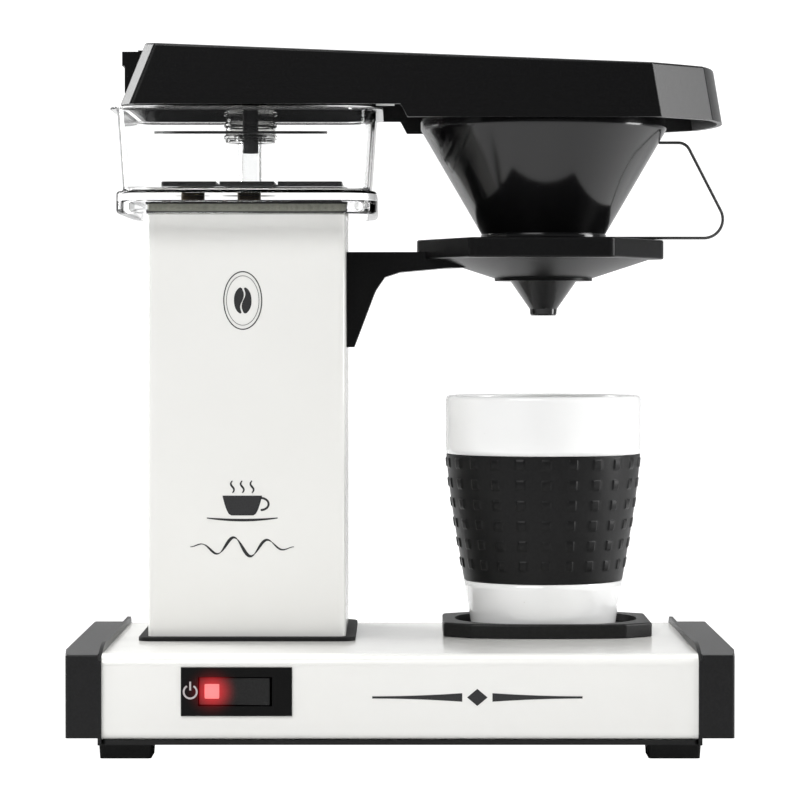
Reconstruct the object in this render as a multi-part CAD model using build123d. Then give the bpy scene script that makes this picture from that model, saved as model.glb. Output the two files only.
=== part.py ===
from build123d import *
import os
from math import cos, radians, sin

# Single-cup drip coffee maker. Millimetres, +Z up, front towards -Y.
# The origin is under the middle of the whole object, on the surface it stands on.

# ---- Driving dimensions -----------------------------------------------------------
FIT_GAP = 0.3              # clearance kept between pieces that move apart
SHEET = 1.2                # painted steel sheet of the base and the tower
PLASTIC_WALL = 2.2         # moulded housings

BASE_X = -1.5              # middle of the base across its length
BASE_LENGTH = 245.6        # between the two side plates
BASE_FRONT = -84.5
BASE_BACK = 74.0
BASE_BOTTOM = 8.3
BASE_TOP = 43.6
BASE_EDGE_RADIUS = 5.0
BASE_LOW_RADIUS = 3.0
BASE_FLANGE = 12.0         # turned-in lip under the front and back walls
BOTTOM_PLATE_THICKNESS = 2.0

SIDE_PLATE = 1.5
SIDE_PLATE_TOP = 46.3
CAP_FRONT = -86.0
CAP_BACK = 75.5
CAP_WIDTH = 15.7
CAP_FRONT_WIDTH = 13.2     # the cap's outer face tapers towards the front
CAP_TAPER_LENGTH = 28.0
CAP_BOTTOM = 9.2
CAP_EDGE_RADIUS = 0.8

FOOT_SIZE = 22.0
FOOT_TAPER = 0.8
FOOT_CORNER = 1.6
FOOT_X = 113.4             # from the middle of the base
FOOT_FRONT_Y = -68.0
FOOT_BACK_Y = 57.0

TOWER_X = -67.3
TOWER_Y = 21.0
TOWER_SIZE = 85.0
TOWER_CORNER = 3.0
TOWER_TOP = 226.5
GASKET_SIZE = 93.1
GASKET_THICKNESS = 1.8
TOP_PLATE_THICKNESS = 4.5
SEAL_THICKNESS = 1.4

TANK_SIZE = 112.0
TANK_RIM_SIZE = 117.0
TANK_CORNER = 16.0
TANK_WALL = 2.0
TANK_FLOOR_THICKNESS = 3.0
TANK_BAND_TOP = 236.4
TANK_RIM_TOP = 272.1
TANK_RIM_THICKNESS = 1.6
TANK_LIP = 3.0

COVER_SIZE = 77.7
COVER_SHIFT = 2.0          # the cover is not quite centred on its hub
COVER_CORNER = 3.0
COVER_BOTTOM = 237.7
COVER_TOP = 240.8
HUB_RADIUS = 11.7
RISER_RADIUS = 5.3
RISER_BORE = 4.0
RISER_TOP = 262.0

BREW_X = 61.7              # axis of the cone, the holder and the mug
BREW_Y = TOWER_Y

HOOD_LOW = 266.9           # lower edge over the brewing cone
HOOD_STEP = 272.4          # lower edge over the tank
HOOD_STEP_X = -1.3
HOOD_FRONT = -44.0
HOOD_BACK = 86.0
HOOD_LEFT = -122.2
HOOD_RIGHT = 139.9
HOOD_DRAFT = 0.06
HOOD_LEFT_DRAFT = 0.40
HOOD_RIGHT_DRAFT = 0.17
HOOD_TOP_LEFT = 298.4      # height of the top's front edge at the left end
HOOD_FALL = 0.0386         # fall of the top towards the right end
HOOD_CROWN = 1.8
HOOD_CORNER_RADIUS = 2.0
HOOD_RIM_RADIUS = 1.2

LID_LEFT = -104.0
LID_RIGHT = -26.0
LID_WIDTH = 78.0
LID_THICKNESS = 2.2
LID_BARREL_RADIUS = 2.3
LID_TAB_WIDTH = 22.0
LID_TAB_OUT = -121.9
LID_TAB_LOW = 280.7
LID_TAB_TOP = 298.6

PIPE_Z = 281.0             # axis of the outlet pipe inside the hood
PIPE_RADIUS = 4.0
PIPE_BORE = 3.0
COLLAR_RADIUS = 11.7
COLLAR_LOW = 259.3
COLLAR_TOP = 275.0
CORE_RADIUS = 3.4
CORE_LOW = 254.8
DISC_RADIUS = 38.0
DISC_OFFSET = -4.3
DISC_Z = 264.1             # middle of the disc, on the collar's axis
DISC_THICKNESS = 1.1
DISC_TILT = 3.25           # the disc leans in its groove, its front edge low
DISC_BORE = 9.35
DISC_PLAY = 0.05
COLLAR_CAVITY = 8.0        # the collar is hollow round the inner pipe

PLATE_TOP = 216.5
PLATE_THICKNESS = 8.5
PLATE_LEFT = 56.8           # reach of the plate's side corners from the cone's axis
PLATE_RIGHT = 54.3
PLATE_HALF_DEPTH = 55.0
PLATE_FLAT_LEFT = 33.0      # ends of its straight front and back
PLATE_FLAT_RIGHT = 27.4
ARM_WIDTH = 22.0
ARM_TOP = 211.1

CONE_RIM_RADIUS = 54.1
CONE_RIM_Z = 265.0
CONE_LIP_TOP = 270.2
CONE_FOOT_RADIUS = 26.0
CONE_FOOT_Z = 217.0
CONE_WALL = 2.0
NOZZLE_TOP_RADIUS = 22.8
NOZZLE_TOP_Z = 210.3
NOZZLE_LOW_RADIUS = 6.0
NOZZLE_LOW_Z = 186.2
NOZZLE_END_Z = 183.3
NOZZLE_END_RADIUS = 5.4
WIRE_RADIUS = 0.65
HANDLE_TOP_Z = 259.4
HANDLE_TOP_X = 124.5
HANDLE_LOW_X = 146.1       # where the loop's two straight runs would meet
HANDLE_BENDS = [5.5, 8.3]

TRIVET_WIDTH = 90.7
TRIVET_DEPTH = 72.0
TRIVET_TOP = 49.85
TRIVET_RECESS_WIDTH = 80.0
TRIVET_RECESS_LENGTH = 66.0
TRIVET_RECESS_CORNER = 31.0
TRIVET_RECESS_DEPTH = 3.6
TRIVET_SHIFT = 1.1         # the mug stands a little off the middle of its stand

MUG_RIM_RADIUS = 43.05
MUG_RIM_Z = 148.2
MUG_FOOT_RADIUS = 31.9
MUG_FOOT_Z = 46.55
MUG_WALL = 3.6
GRIP_LOW = 66.8
GRIP_HIGH = 122.6
GRIP_LOW_RADIUS = 34.9     # outside of the cup at the sleeve's lower and upper edges
GRIP_HIGH_RADIUS = 42.8
GRIP_RECESS = 0.8          # the cup's wall steps in by this much behind the sleeve
GRIP_THICKNESS = 1.25
GRIP_BED = 0.15            # the sleeve is stretched over the cup with this gap
GRIP_PLAY = 0.1

BEZEL_X = -68.75
BEZEL_WIDTH = 45.7
BEZEL_LOW = 18.3
BEZEL_HIGH = 38.4
BEZEL_PROUD = 1.0
ROCKER_X = -69.3
ROCKER_WIDTH = 29.3
ROCKER_HEIGHT = 11.0
ROCKER_Z = 28.4
ROCKER_TILT = -4.0         # the rocker rests switched on, its lit end pressed in
ROCKER_PIVOT_Y = -79.5
LENS_SIZE = 6.0
LENS_INSET = 5.4           # middle of the window from the rocker's end


# ---- Shared shapes ----------------------------------------------------------------
def block(x, y, z, width, depth, height):
    """A box standing on height z, centred on x and y."""
    return Pos(x, y, z + height / 2) * Box(width, depth, height)


def rounded_block(x, y, z, width, depth, height, corner):
    """A box with round vertical edges, standing on z."""
    return Pos(x, y, z) * extrude(RectangleRounded(width, depth, corner), amount=height)


def rod(x, y, z, radius, height):
    """An upright cylinder standing on z."""
    return Pos(x, y, z + height / 2) * Cylinder(radius, height)


def turned(x, y, points):
    """A solid of revolution about an upright axis, from (radius, height) points."""
    outline = Polyline(*points, close=True)
    face = make_face(Plane.XZ * outline)
    return Pos(x, y, 0) * revolve(face, axis=Axis.Z)


def pipe_along(points, bends, outer, bore):
    """A round tube along straight runs joined by arcs."""
    path = FilletPolyline(*points, radius=bends)
    section = Plane(origin=path @ 0, z_dir=path % 0)
    wall = Circle(outer) - Circle(bore) if bore else Circle(outer)
    return sweep(section * wall, path=path)


def pan_screw(head_radius, head_height, shank_radius, shank_length):
    """A screw with its head down and its shank up, the head's face on z = 0."""
    head = Pos(0, 0, head_height / 2) * Cylinder(head_radius, head_height)
    slot = Pos(0, 0, 0) * Box(head_radius * 1.6, 0.8, 1.2)
    shank = Pos(0, 0, head_height + shank_length / 2) * Cylinder(shank_radius, shank_length)
    return head - slot + shank


def flat_screw(head_radius, head_height, shank_radius, shank_length):
    """A screw with its sunk head down and its shank up, the head's face on z = 0."""
    tip = head_height + shank_length
    body = turned(0, 0, [(0, 0), (head_radius, 0), (shank_radius, head_height), (shank_radius, tip), (0, tip)])
    return body - Box(head_radius * 1.1, 0.8, 1.2)


# ---- Base -------------------------------------------------------------------------
BASE_HALF = BASE_LENGTH / 2
BASE_MID_Y = (BASE_FRONT + BASE_BACK) / 2
SCREW_SPOTS = [(x, y) for x in (-95.0, 0.0, 95.0) for y in (BASE_FRONT + 7.0, BASE_BACK - 7.0)]
SCREW_HOLE = 1.7
SCREW_SHANK = 1.5
SINK_RADIUS = 3.2          # the bottom plate's screws sit flush in it
SINK_DEPTH = 1.6
SINK_PLAY = 0.05
TOWER_WELL = 50.0          # opening under the tower for its wires
GLAND_X = 60.0
GLAND_Z = 22.0
GLAND_RADIUS = 7.0
TOWER_SCREW_REACH = 35.0
TOWER_SPOTS = [(TOWER_X + sx * TOWER_SCREW_REACH, TOWER_Y + sy * TOWER_SCREW_REACH)
               for sx in (-1, 1) for sy in (-1, 1)]


def base_shell():
    """One sheet bent over the front, the top and the back, with lips turned in below."""
    depth = BASE_BACK - BASE_FRONT
    height = BASE_TOP - BASE_BOTTOM
    middle = Pos(BASE_MID_Y, (BASE_TOP + BASE_BOTTOM) / 2)
    outer = Rectangle(depth, height)
    outer = fillet(outer.vertices().group_by(Axis.Y)[-1], BASE_EDGE_RADIUS)
    outer = fillet(outer.vertices().group_by(Axis.Y)[0], BASE_LOW_RADIUS)
    inner = Rectangle(depth - 2 * SHEET, height - 2 * SHEET)
    inner = fillet(inner.vertices().group_by(Axis.Y)[-1], BASE_EDGE_RADIUS - SHEET)
    inner = fillet(inner.vertices().group_by(Axis.Y)[0], BASE_LOW_RADIUS - SHEET)
    mouth = Pos(0, -height / 2) * Rectangle(depth - 2 * BASE_FLANGE, 4 * SHEET)
    section = Plane.YZ * (middle * (outer - inner - mouth))
    shell = Pos(BASE_X, 0, 0) * extrude(section, amount=BASE_HALF, both=True)
    cutout_height = BEZEL_HIGH - BEZEL_LOW - 4.0
    shell -= block(BEZEL_X, BASE_FRONT, BEZEL_LOW + 2.0, BEZEL_WIDTH - 4.0, 10.0, cutout_height)
    shell -= block(TOWER_X, TOWER_Y, BASE_TOP - 5.0, TOWER_WELL, TOWER_WELL, 10.0)
    shell -= Pos(GLAND_X, BASE_BACK, GLAND_Z) * Rot(90, 0, 0) * Cylinder(GLAND_RADIUS, 10.0)
    for x, y in SCREW_SPOTS:
        shell -= rod(BASE_X + x, y, BASE_BOTTOM - 1.0, SCREW_HOLE, 5.0)
    for x, y in TOWER_SPOTS:
        shell -= rod(x, y, BASE_TOP - 5.0, SCREW_HOLE, 10.0)
    return shell


def bottom_plate():
    """Flat black plate that closes the base from below."""
    depth = BASE_BACK - BASE_FRONT - 1.0
    low = BASE_BOTTOM - BOTTOM_PLATE_THICKNESS
    plate = rounded_block(BASE_X, BASE_MID_Y, low, BASE_LENGTH, depth, BOTTOM_PLATE_THICKNESS, 2.0)
    sink = Cone(SINK_RADIUS + SINK_PLAY, SCREW_SHANK + SINK_PLAY, SINK_DEPTH)
    for x, y in SCREW_SPOTS:
        plate -= rod(BASE_X + x, y, low - 1.0, SCREW_HOLE, 5.0)
        plate -= Pos(BASE_X + x, y, low + SINK_DEPTH / 2) * sink
    return plate


def side_plate(side):
    """Black end wall of the base, standing proud of its top, its front edge curved down."""
    low = BASE_BOTTOM - BOTTOM_PLATE_THICKNESS
    nose = ThreePointArc((CAP_FRONT, 41.0), (CAP_FRONT + 11.0, 45.0), (CAP_FRONT + 35.0, SIDE_PLATE_TOP))
    back_radius = 6.0
    top = Line(nose @ 1, (CAP_BACK - back_radius, SIDE_PLATE_TOP))
    corner_height = SIDE_PLATE_TOP - back_radius
    corner = RadiusArc(top @ 1, (CAP_BACK, corner_height), back_radius)
    rest = Polyline(corner @ 1, (CAP_BACK, low), (CAP_FRONT, low), nose @ 0)
    face = Plane.YZ * make_face(nose + top + corner + rest)
    plate = extrude(face, amount=SIDE_PLATE)
    if side > 0:
        return Pos(BASE_X + BASE_HALF, 0, 0) * plate
    return Pos(BASE_X - BASE_HALF - SIDE_PLATE, 0, 0) * plate


def end_cap(side):
    """Hollow moulded cap over one end of the base, open towards it."""
    plan = Polyline(
        (0, CAP_FRONT),
        (CAP_FRONT_WIDTH, CAP_FRONT),
        (CAP_WIDTH, CAP_FRONT + CAP_TAPER_LENGTH),
        (CAP_WIDTH, CAP_BACK),
        (0, CAP_BACK),
        close=True,
    )
    height = BASE_TOP - CAP_BOTTOM
    cap = Pos(0, 0, CAP_BOTTOM) * extrude(make_face(plan), amount=height)
    outer_edges = cap.edges().filter_by(Axis.Z).group_by(Axis.X)
    cap = fillet(outer_edges[-1] + outer_edges[-2], 1.6)
    top_edges = cap.edges().group_by(Axis.Z)
    cap = fillet(top_edges[-1].filter_by(lambda e: e.center().X > 0.1), CAP_EDGE_RADIUS)
    hollow_width = CAP_FRONT_WIDTH - PLASTIC_WALL
    hollow_depth = CAP_BACK - CAP_FRONT - 2 * PLASTIC_WALL
    mid_y = (CAP_BACK + CAP_FRONT) / 2
    hollow_height = height - 2 * PLASTIC_WALL
    cap -= block(hollow_width / 2, mid_y, CAP_BOTTOM + PLASTIC_WALL, hollow_width, hollow_depth,
                 hollow_height)
    if side < 0:
        cap = mirror(cap, about=Plane.YZ)
    return Pos(BASE_X + side * (BASE_HALF + SIDE_PLATE), 0, 0) * cap


def feet():
    """Four rubber feet, a little narrower where they meet the table."""
    height = BASE_BOTTOM - BOTTOM_PLATE_THICKNESS
    wide = Pos(0, 0, height) * RectangleRounded(FOOT_SIZE, FOOT_SIZE, FOOT_CORNER)
    narrow = RectangleRounded(FOOT_SIZE - FOOT_TAPER, FOOT_SIZE - FOOT_TAPER, FOOT_CORNER)
    foot = loft([narrow, wide])
    spots = [(x, y) for x in (-FOOT_X, FOOT_X) for y in (FOOT_FRONT_Y, FOOT_BACK_Y)]
    return Compound([Pos(BASE_X + x, y, 0) * foot for x, y in spots])


def base_screws():
    """Six sunk screws that hold the bottom plate to the base's lips."""
    low = BASE_BOTTOM - BOTTOM_PLATE_THICKNESS
    screw = flat_screw(SINK_RADIUS, SINK_DEPTH, SCREW_SHANK, 4.0)
    return Compound([Pos(BASE_X + x, y, low) * screw for x, y in SCREW_SPOTS])


def cord_gland():
    """Rubber bush in the back wall that the mains lead would pass through."""
    length = 8.0
    flange = 2.0
    bore = 3.6
    body = Cylinder(GLAND_RADIUS - 0.1, length)
    body += Pos(0, 0, (length - flange) / 2) * Cylinder(GLAND_RADIUS + 2.5, flange)
    body -= Cylinder(bore, 2 * length)
    body = Rot(-90, 0, 0) * body
    return Pos(GLAND_X, BASE_BACK - 2.0, GLAND_Z) * body


def terminal_block():
    """Ceramic block on the bottom plate where the wires meet."""
    middle_x = 20.0
    middle_y = 30.0
    pitch = 10.0
    wire_radius = 2.2
    screw_radius = 1.6
    body = rounded_block(middle_x, middle_y, BASE_BOTTOM, 34.0, 18.0, 14.0, 1.5)
    for x in (middle_x - pitch, middle_x, middle_x + pitch):
        body -= Pos(x, middle_y, BASE_BOTTOM + 8.0) * Rot(90, 0, 0) * Cylinder(wire_radius, 30.0)
        body -= rod(x, middle_y, BASE_BOTTOM + 9.0, screw_radius, 8.0)
    return body


# ---- Switch -----------------------------------------------------------------------
BEZEL_DEPTH = 3.6
WELL_WIDTH = ROCKER_WIDTH + 1.2
WELL_HEIGHT = ROCKER_HEIGHT + 1.0
HOUSING_DEPTH = 22.0


def switch_bezel():
    """Black frame pressed into the front wall, with a well for the rocker."""
    front = BASE_FRONT - BEZEL_PROUD
    height = BEZEL_HIGH - BEZEL_LOW
    face = block(BEZEL_X, front + BEZEL_PROUD / 2, BEZEL_LOW, BEZEL_WIDTH, BEZEL_PROUD, height)
    front_edges = face.faces().sort_by(Axis.Y)[0].edges()
    face = fillet(front_edges, 0.4)
    plug_height = height - 4.4
    plug = block(BEZEL_X, BASE_FRONT + BEZEL_DEPTH / 2, BEZEL_LOW + 2.2, BEZEL_WIDTH - 4.4,
                 BEZEL_DEPTH, plug_height)
    well = block(ROCKER_X, BASE_FRONT, ROCKER_Z - WELL_HEIGHT / 2, WELL_WIDTH, 12.0, WELL_HEIGHT)
    return face + plug - well


def switch_housing():
    """Box of contacts behind the bezel, with two bearings for the rocker's pins."""
    back = BASE_FRONT + BEZEL_DEPTH
    height = WELL_HEIGHT + 4.0
    low = ROCKER_Z - height / 2
    width = WELL_WIDTH + 3.0
    body = block(ROCKER_X, back + HOUSING_DEPTH / 2, low, width, HOUSING_DEPTH, height)
    hollow_depth = HOUSING_DEPTH - 8.0
    body -= block(ROCKER_X, back + hollow_depth / 2, ROCKER_Z - WELL_HEIGHT / 2, WELL_WIDTH,
                  hollow_depth, WELL_HEIGHT)
    body -= Pos(ROCKER_X, ROCKER_PIVOT_Y, ROCKER_Z) * Cylinder(1.25, height + 2.0)
    body -= block(ROCKER_X, back, low - 1.0, 2.5, 2 * (ROCKER_PIVOT_Y - back), height + 2.0)
    for x in (-10.0, 0.0, 10.0):
        body += block(ROCKER_X + x, back + HOUSING_DEPTH + 4.0, ROCKER_Z - 3.0, 0.8, 8.0, 6.0)
    return body


def on_rocker(shape):
    """Turns a piece drawn square to the front into the rocker's switched-on position."""
    return Pos(ROCKER_X, ROCKER_PIVOT_Y, ROCKER_Z) * Rot(0, 0, ROCKER_TILT) * shape


ROCKER_FACE = BASE_FRONT - BEZEL_PROUD - ROCKER_PIVOT_Y + 0.6


def switch_rocker():
    """Rocker with a shallow dished face, on two short pivot pins."""
    pin_reach = WELL_HEIGHT / 2 + 1.5
    profile = Polyline(
        (-ROCKER_WIDTH / 2, ROCKER_FACE),
        (-ROCKER_WIDTH / 2, 1.0),
        (0, 3.6),
        (ROCKER_WIDTH / 2, 1.0),
        (ROCKER_WIDTH / 2, ROCKER_FACE),
        (0, ROCKER_FACE + 0.6),
        close=True,
    )
    body = Pos(0, 0, -ROCKER_HEIGHT / 2) * extrude(make_face(profile), amount=ROCKER_HEIGHT)
    body = fillet(body.edges().filter_by(Axis.Z).group_by(Axis.Y)[0], 0.8)
    body += Cylinder(1.2, 2 * pin_reach)
    lens_x = -ROCKER_WIDTH / 2 + LENS_INSET
    body -= Pos(lens_x, ROCKER_FACE, 0) * Box(LENS_SIZE + 0.1, 3.0, LENS_SIZE + 0.1)
    return on_rocker(body)


def switch_lens():
    """Red window set into the pressed end of the rocker."""
    lens_x = -ROCKER_WIDTH / 2 + LENS_INSET
    lens = Pos(lens_x, ROCKER_FACE + 0.85, 0) * Box(LENS_SIZE, 1.3, LENS_SIZE)
    lens = fillet(lens.edges().filter_by(Axis.Y), 0.5)
    return on_rocker(lens)


# ---- Tower ------------------------------------------------------------------------
TOWER_FOOT = BASE_TOP + GASKET_THICKNESS
TOWER_INSIDE = TOWER_SIZE - 2 * SHEET
PLATE_Z = TOWER_TOP
DECK_Z = TOWER_TOP + TOP_PLATE_THICKNESS + SEAL_THICKNESS
FLOOR_TOP = DECK_Z + TANK_FLOOR_THICKNESS
VALVE_X = TOWER_X - 24.0
PORT_RADIUS = 5.0
HOLDER_SCREW_Z = (180.0, 203.0)
TOWER_RIGHT = TOWER_X + TOWER_SIZE / 2


def tower_gasket():
    """Rubber frame between the tower and the base."""
    body = rounded_block(TOWER_X, TOWER_Y, BASE_TOP, GASKET_SIZE, GASKET_SIZE, GASKET_THICKNESS, 6.0)
    body = fillet(body.edges().group_by(Axis.Z)[-1], 0.6)
    body -= block(TOWER_X, TOWER_Y, BASE_TOP - 1.0, TOWER_WELL, TOWER_WELL, 5.0)
    for x, y in TOWER_SPOTS:
        body -= rod(x, y, BASE_TOP - 1.0, SCREW_HOLE, 5.0)
    return body


def tower_shell():
    """Square tube folded from one sheet, open at both ends."""
    height = TOWER_TOP - TOWER_FOOT
    shell = rounded_block(TOWER_X, TOWER_Y, TOWER_FOOT, TOWER_SIZE, TOWER_SIZE, height, TOWER_CORNER)
    inner = rounded_block(TOWER_X, TOWER_Y, TOWER_FOOT - 1.0, TOWER_INSIDE, TOWER_INSIDE,
                          height + 2.0, TOWER_CORNER - SHEET)
    shell -= inner
    for z in HOLDER_SCREW_Z:
        shell -= Pos(TOWER_RIGHT, TOWER_Y, z) * Rot(0, 90, 0) * Cylinder(2.2, 10.0)
    return shell


def tower_frame():
    """Steel tray inside the foot of the tower that the base screws pull down."""
    size = TOWER_INSIDE - 0.4
    tray = rounded_block(TOWER_X, TOWER_Y, TOWER_FOOT, size, size, 14.0, 1.6)
    tray -= rounded_block(TOWER_X, TOWER_Y, TOWER_FOOT + 1.5, size - 3.0, size - 3.0, 20.0, 1.0)
    tray -= block(TOWER_X, TOWER_Y, TOWER_FOOT - 1.0, TOWER_WELL, TOWER_WELL, 5.0)
    for x, y in TOWER_SPOTS:
        tray -= rod(x, y, TOWER_FOOT - 1.0, SCREW_HOLE, 5.0)
    return tray


def tower_screws():
    """Four screws from inside the base up into the tower's tray."""
    head_height = 2.0
    screw = pan_screw(3.2, head_height, 1.5, 9.0)
    low = BASE_TOP - SHEET - head_height
    return Compound([Pos(x, y, low) * screw for x, y in TOWER_SPOTS])


def tower_top_plate():
    """Grey cast cap that closes the tower and carries the tank."""
    plate = rounded_block(TOWER_X, TOWER_Y, PLATE_Z, TOWER_SIZE, TOWER_SIZE, TOP_PLATE_THICKNESS,
                          TOWER_CORNER)
    plug_height = 8.0
    size = TOWER_INSIDE - 0.6
    plug = rounded_block(TOWER_X, TOWER_Y, PLATE_Z - plug_height, size, size, plug_height, 1.4)
    plug -= rounded_block(TOWER_X, TOWER_Y, PLATE_Z - plug_height - 1.0, size - 6.0, size - 6.0,
                          plug_height, 1.0)
    plate += plug
    for x in (TOWER_X, VALVE_X):
        plate -= rod(x, TOWER_Y, PLATE_Z - 2.0, PORT_RADIUS + 0.2, 10.0)
    return plate


def tank_seal():
    """Flat rubber seal between the tower's cap and the tank."""
    low = PLATE_Z + TOP_PLATE_THICKNESS
    seal = rounded_block(TOWER_X, TOWER_Y, low, TOWER_SIZE + 1.6, TOWER_SIZE + 1.6, SEAL_THICKNESS,
                         TOWER_CORNER + 0.8)
    for x in (TOWER_X, VALVE_X):
        seal -= rod(x, TOWER_Y, low - 1.0, PORT_RADIUS + 0.2, 4.0)
    return seal


# ---- Water path -------------------------------------------------------------------
BOILER_RADIUS = 4.6
BOILER_BORE = 3.4
BOILER_LOW = 96.0
BOILER_BEND = 11.9
HEATER_RADIUS = 3.2
HEATER_Y = TOWER_Y + 9.2
CLAMP_HEIGHTS = (118.0, 172.0)
CLAMP_HEIGHT = 14.0


def boiler_tube():
    """Tube bent into a narrow U: down from the valve, along the bottom, up to the riser."""
    top = PLATE_Z - 4.0
    route = [(VALVE_X, TOWER_Y, top - 8.0), (VALVE_X, TOWER_Y, BOILER_LOW),
             (TOWER_X, TOWER_Y, BOILER_LOW), (TOWER_X, TOWER_Y, top)]
    return pipe_along(route, BOILER_BEND, BOILER_RADIUS, BOILER_BORE)


def heating_element():
    """Sheathed heating rod that runs down and up behind the boiler tube."""
    top = 196.0
    route = [(VALVE_X, HEATER_Y, top), (VALVE_X, HEATER_Y, BOILER_LOW),
             (TOWER_X, HEATER_Y, BOILER_LOW), (TOWER_X, HEATER_Y, top)]
    return pipe_along(route, BOILER_BEND, HEATER_RADIUS, 0)


def boiler_clamps():
    """Two aluminium blocks that press the heating rod and the tube together."""
    middle = (VALVE_X + TOWER_X) / 2
    clamp_depth = 26.0
    clamps = []
    for z in CLAMP_HEIGHTS:
        clamp = rounded_block(middle, TOWER_Y + 4.0, z, 40.0, clamp_depth, CLAMP_HEIGHT, 3.0)
        for x in (VALVE_X, TOWER_X):
            clamp -= rod(x, TOWER_Y, z - 1.0, BOILER_RADIUS + 0.1, CLAMP_HEIGHT + 2.0)
            clamp -= rod(x, HEATER_Y, z - 1.0, HEATER_RADIUS + 0.1, CLAMP_HEIGHT + 2.0)
        clamps.append(clamp)
    return Compound(clamps)


def thermostats():
    """Control thermostat and safety cut-out, one on the face of each clamp."""
    middle = (VALVE_X + TOWER_X) / 2
    face_y = TOWER_Y + 4.0 - 13.0
    discs = []
    for z in CLAMP_HEIGHTS:
        disc = Cylinder(6.8, 5.0) + Pos(0, 0, 4.5) * Cylinder(4.5, 4.0)
        disc += Pos(0, 3.2, 8.5) * Box(5.0, 0.8, 6.0)
        disc += Pos(0, -3.2, 8.5) * Box(5.0, 0.8, 6.0)
        discs.append(Pos(middle, face_y - 2.5, z + CLAMP_HEIGHT / 2) * Rot(90, 0, 0) * disc)
    return Compound(discs)


def check_valve():
    """Brass one-way valve between the tank and the boiler tube, with its union nut."""
    top = PLATE_Z - 1.0
    low = PLATE_Z - 20.0
    body = rod(VALVE_X, TOWER_Y, low, 7.5, top - low)
    nut = Pos(VALVE_X, TOWER_Y, low) * extrude(RegularPolygon(9.0, 6), amount=7.0)
    body += nut
    body += rod(VALVE_X, TOWER_Y, top - 0.5, PORT_RADIUS, FLOOR_TOP + 2.0 - top + 0.5)
    body -= rod(VALVE_X, TOWER_Y, low - 1.0, BOILER_RADIUS + 0.1, 9.0)
    body -= rod(VALVE_X, TOWER_Y, low, 2.6, FLOOR_TOP - low + 6.0)
    return body


def riser_fitting():
    """Brass union that joins the boiler tube to the glass riser through the tank's floor."""
    low = PLATE_Z - 12.0
    nut_height = 8.0
    stem_low = low + nut_height
    body = Pos(TOWER_X, TOWER_Y, low) * extrude(RegularPolygon(9.0, 6), amount=nut_height)
    body += rod(TOWER_X, TOWER_Y, stem_low, PORT_RADIUS, FLOOR_TOP - stem_low)
    body -= rod(TOWER_X, TOWER_Y, low - 1.0, BOILER_RADIUS + 0.1, 9.1)
    body -= rod(TOWER_X, TOWER_Y, low, 2.6, FLOOR_TOP - low + 6.0)
    return body


# ---- Water tank -------------------------------------------------------------------
def tank_level(size, z, corner):
    """Rounded square outline of the tank at one height."""
    return Pos(TOWER_X, TOWER_Y, z) * RectangleRounded(size, size, corner)


def water_tank():
    """Clear moulded tank: a skirt round the tower's top, a floor, flared walls and a rim."""
    skirt_height = TANK_BAND_TOP - TOWER_TOP
    skirt = rounded_block(TOWER_X, TOWER_Y, TOWER_TOP, TANK_SIZE, TANK_SIZE, skirt_height, TANK_CORNER)
    skirt = fillet(skirt.edges().group_by(Axis.Z)[-1], 2.0)
    skirt = fillet(skirt.edges().group_by(Axis.Z)[0], 2.0)
    pocket = TANK_SIZE - 2 * 5.0
    skirt -= rounded_block(TOWER_X, TOWER_Y, TOWER_TOP - 1.0, pocket, pocket,
                           DECK_Z - TOWER_TOP + 1.0, TANK_CORNER - 5.0)
    wall_size = TANK_SIZE - 6.0
    top_size = TANK_RIM_SIZE - 2 * TANK_LIP
    wall = loft([tank_level(wall_size, TANK_BAND_TOP - 4.0, TANK_CORNER - 3.0),
                 tank_level(top_size, TANK_RIM_TOP, TANK_CORNER - 1.0)])
    rim_low = TANK_RIM_TOP - TANK_RIM_THICKNESS
    rim = rounded_block(TOWER_X, TOWER_Y, rim_low, TANK_RIM_SIZE, TANK_RIM_SIZE, TANK_RIM_THICKNESS,
                        TANK_CORNER + 1.0)
    rim = fillet(rim.edges().filter_by(GeomType.LINE).filter_by(Axis.Z, reverse=True)
                 + rim.edges().filter_by(GeomType.CIRCLE), 0.6)
    cavity = loft([tank_level(wall_size - 2 * TANK_WALL, FLOOR_TOP, TANK_CORNER - 5.0),
                   tank_level(top_size - 2 * TANK_WALL, TANK_RIM_TOP + 0.01, TANK_CORNER - 3.0)])
    tank = skirt + wall + rim - cavity
    for x in (TOWER_X, VALVE_X):
        tank -= rod(x, TOWER_Y, DECK_Z - 1.0, PORT_RADIUS + 0.2, 12.0)
    return tank


def outlet_nut():
    """Ring nut that clamps the tank's floor on the valve, with a coarse strainer on top."""
    ring = rod(VALVE_X, TOWER_Y, FLOOR_TOP, 8.0, 2.0)
    ring -= rod(VALVE_X, TOWER_Y, FLOOR_TOP - 1.0, PORT_RADIUS + 0.1, 4.0)
    return ring


def element_cover():
    """Square black plate on a hub over the tank's fittings, with two grooves across its top."""
    cover = rounded_block(TOWER_X + COVER_SHIFT, TOWER_Y, COVER_BOTTOM, COVER_SIZE, COVER_SIZE,
                          COVER_TOP - COVER_BOTTOM, COVER_CORNER)
    cover += rod(TOWER_X, TOWER_Y, FLOOR_TOP, HUB_RADIUS, COVER_BOTTOM - FLOOR_TOP + 1.0)
    for side in (-1, 1):
        cover -= block(TOWER_X + side * (HUB_RADIUS + 0.8), TOWER_Y, COVER_TOP - 1.5, 1.6,
                       2 * COVER_SIZE, 3.0)
        for y in (-24.0, -16.0, 16.0, 24.0):
            cover -= block(TOWER_X + side * 20.0, TOWER_Y + y, COVER_BOTTOM - 1.0, 12.0, 2.0, 8.0)
    cover -= rod(TOWER_X, TOWER_Y, FLOOR_TOP - 1.0, RISER_RADIUS + 0.1, 12.0)
    return cover


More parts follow.
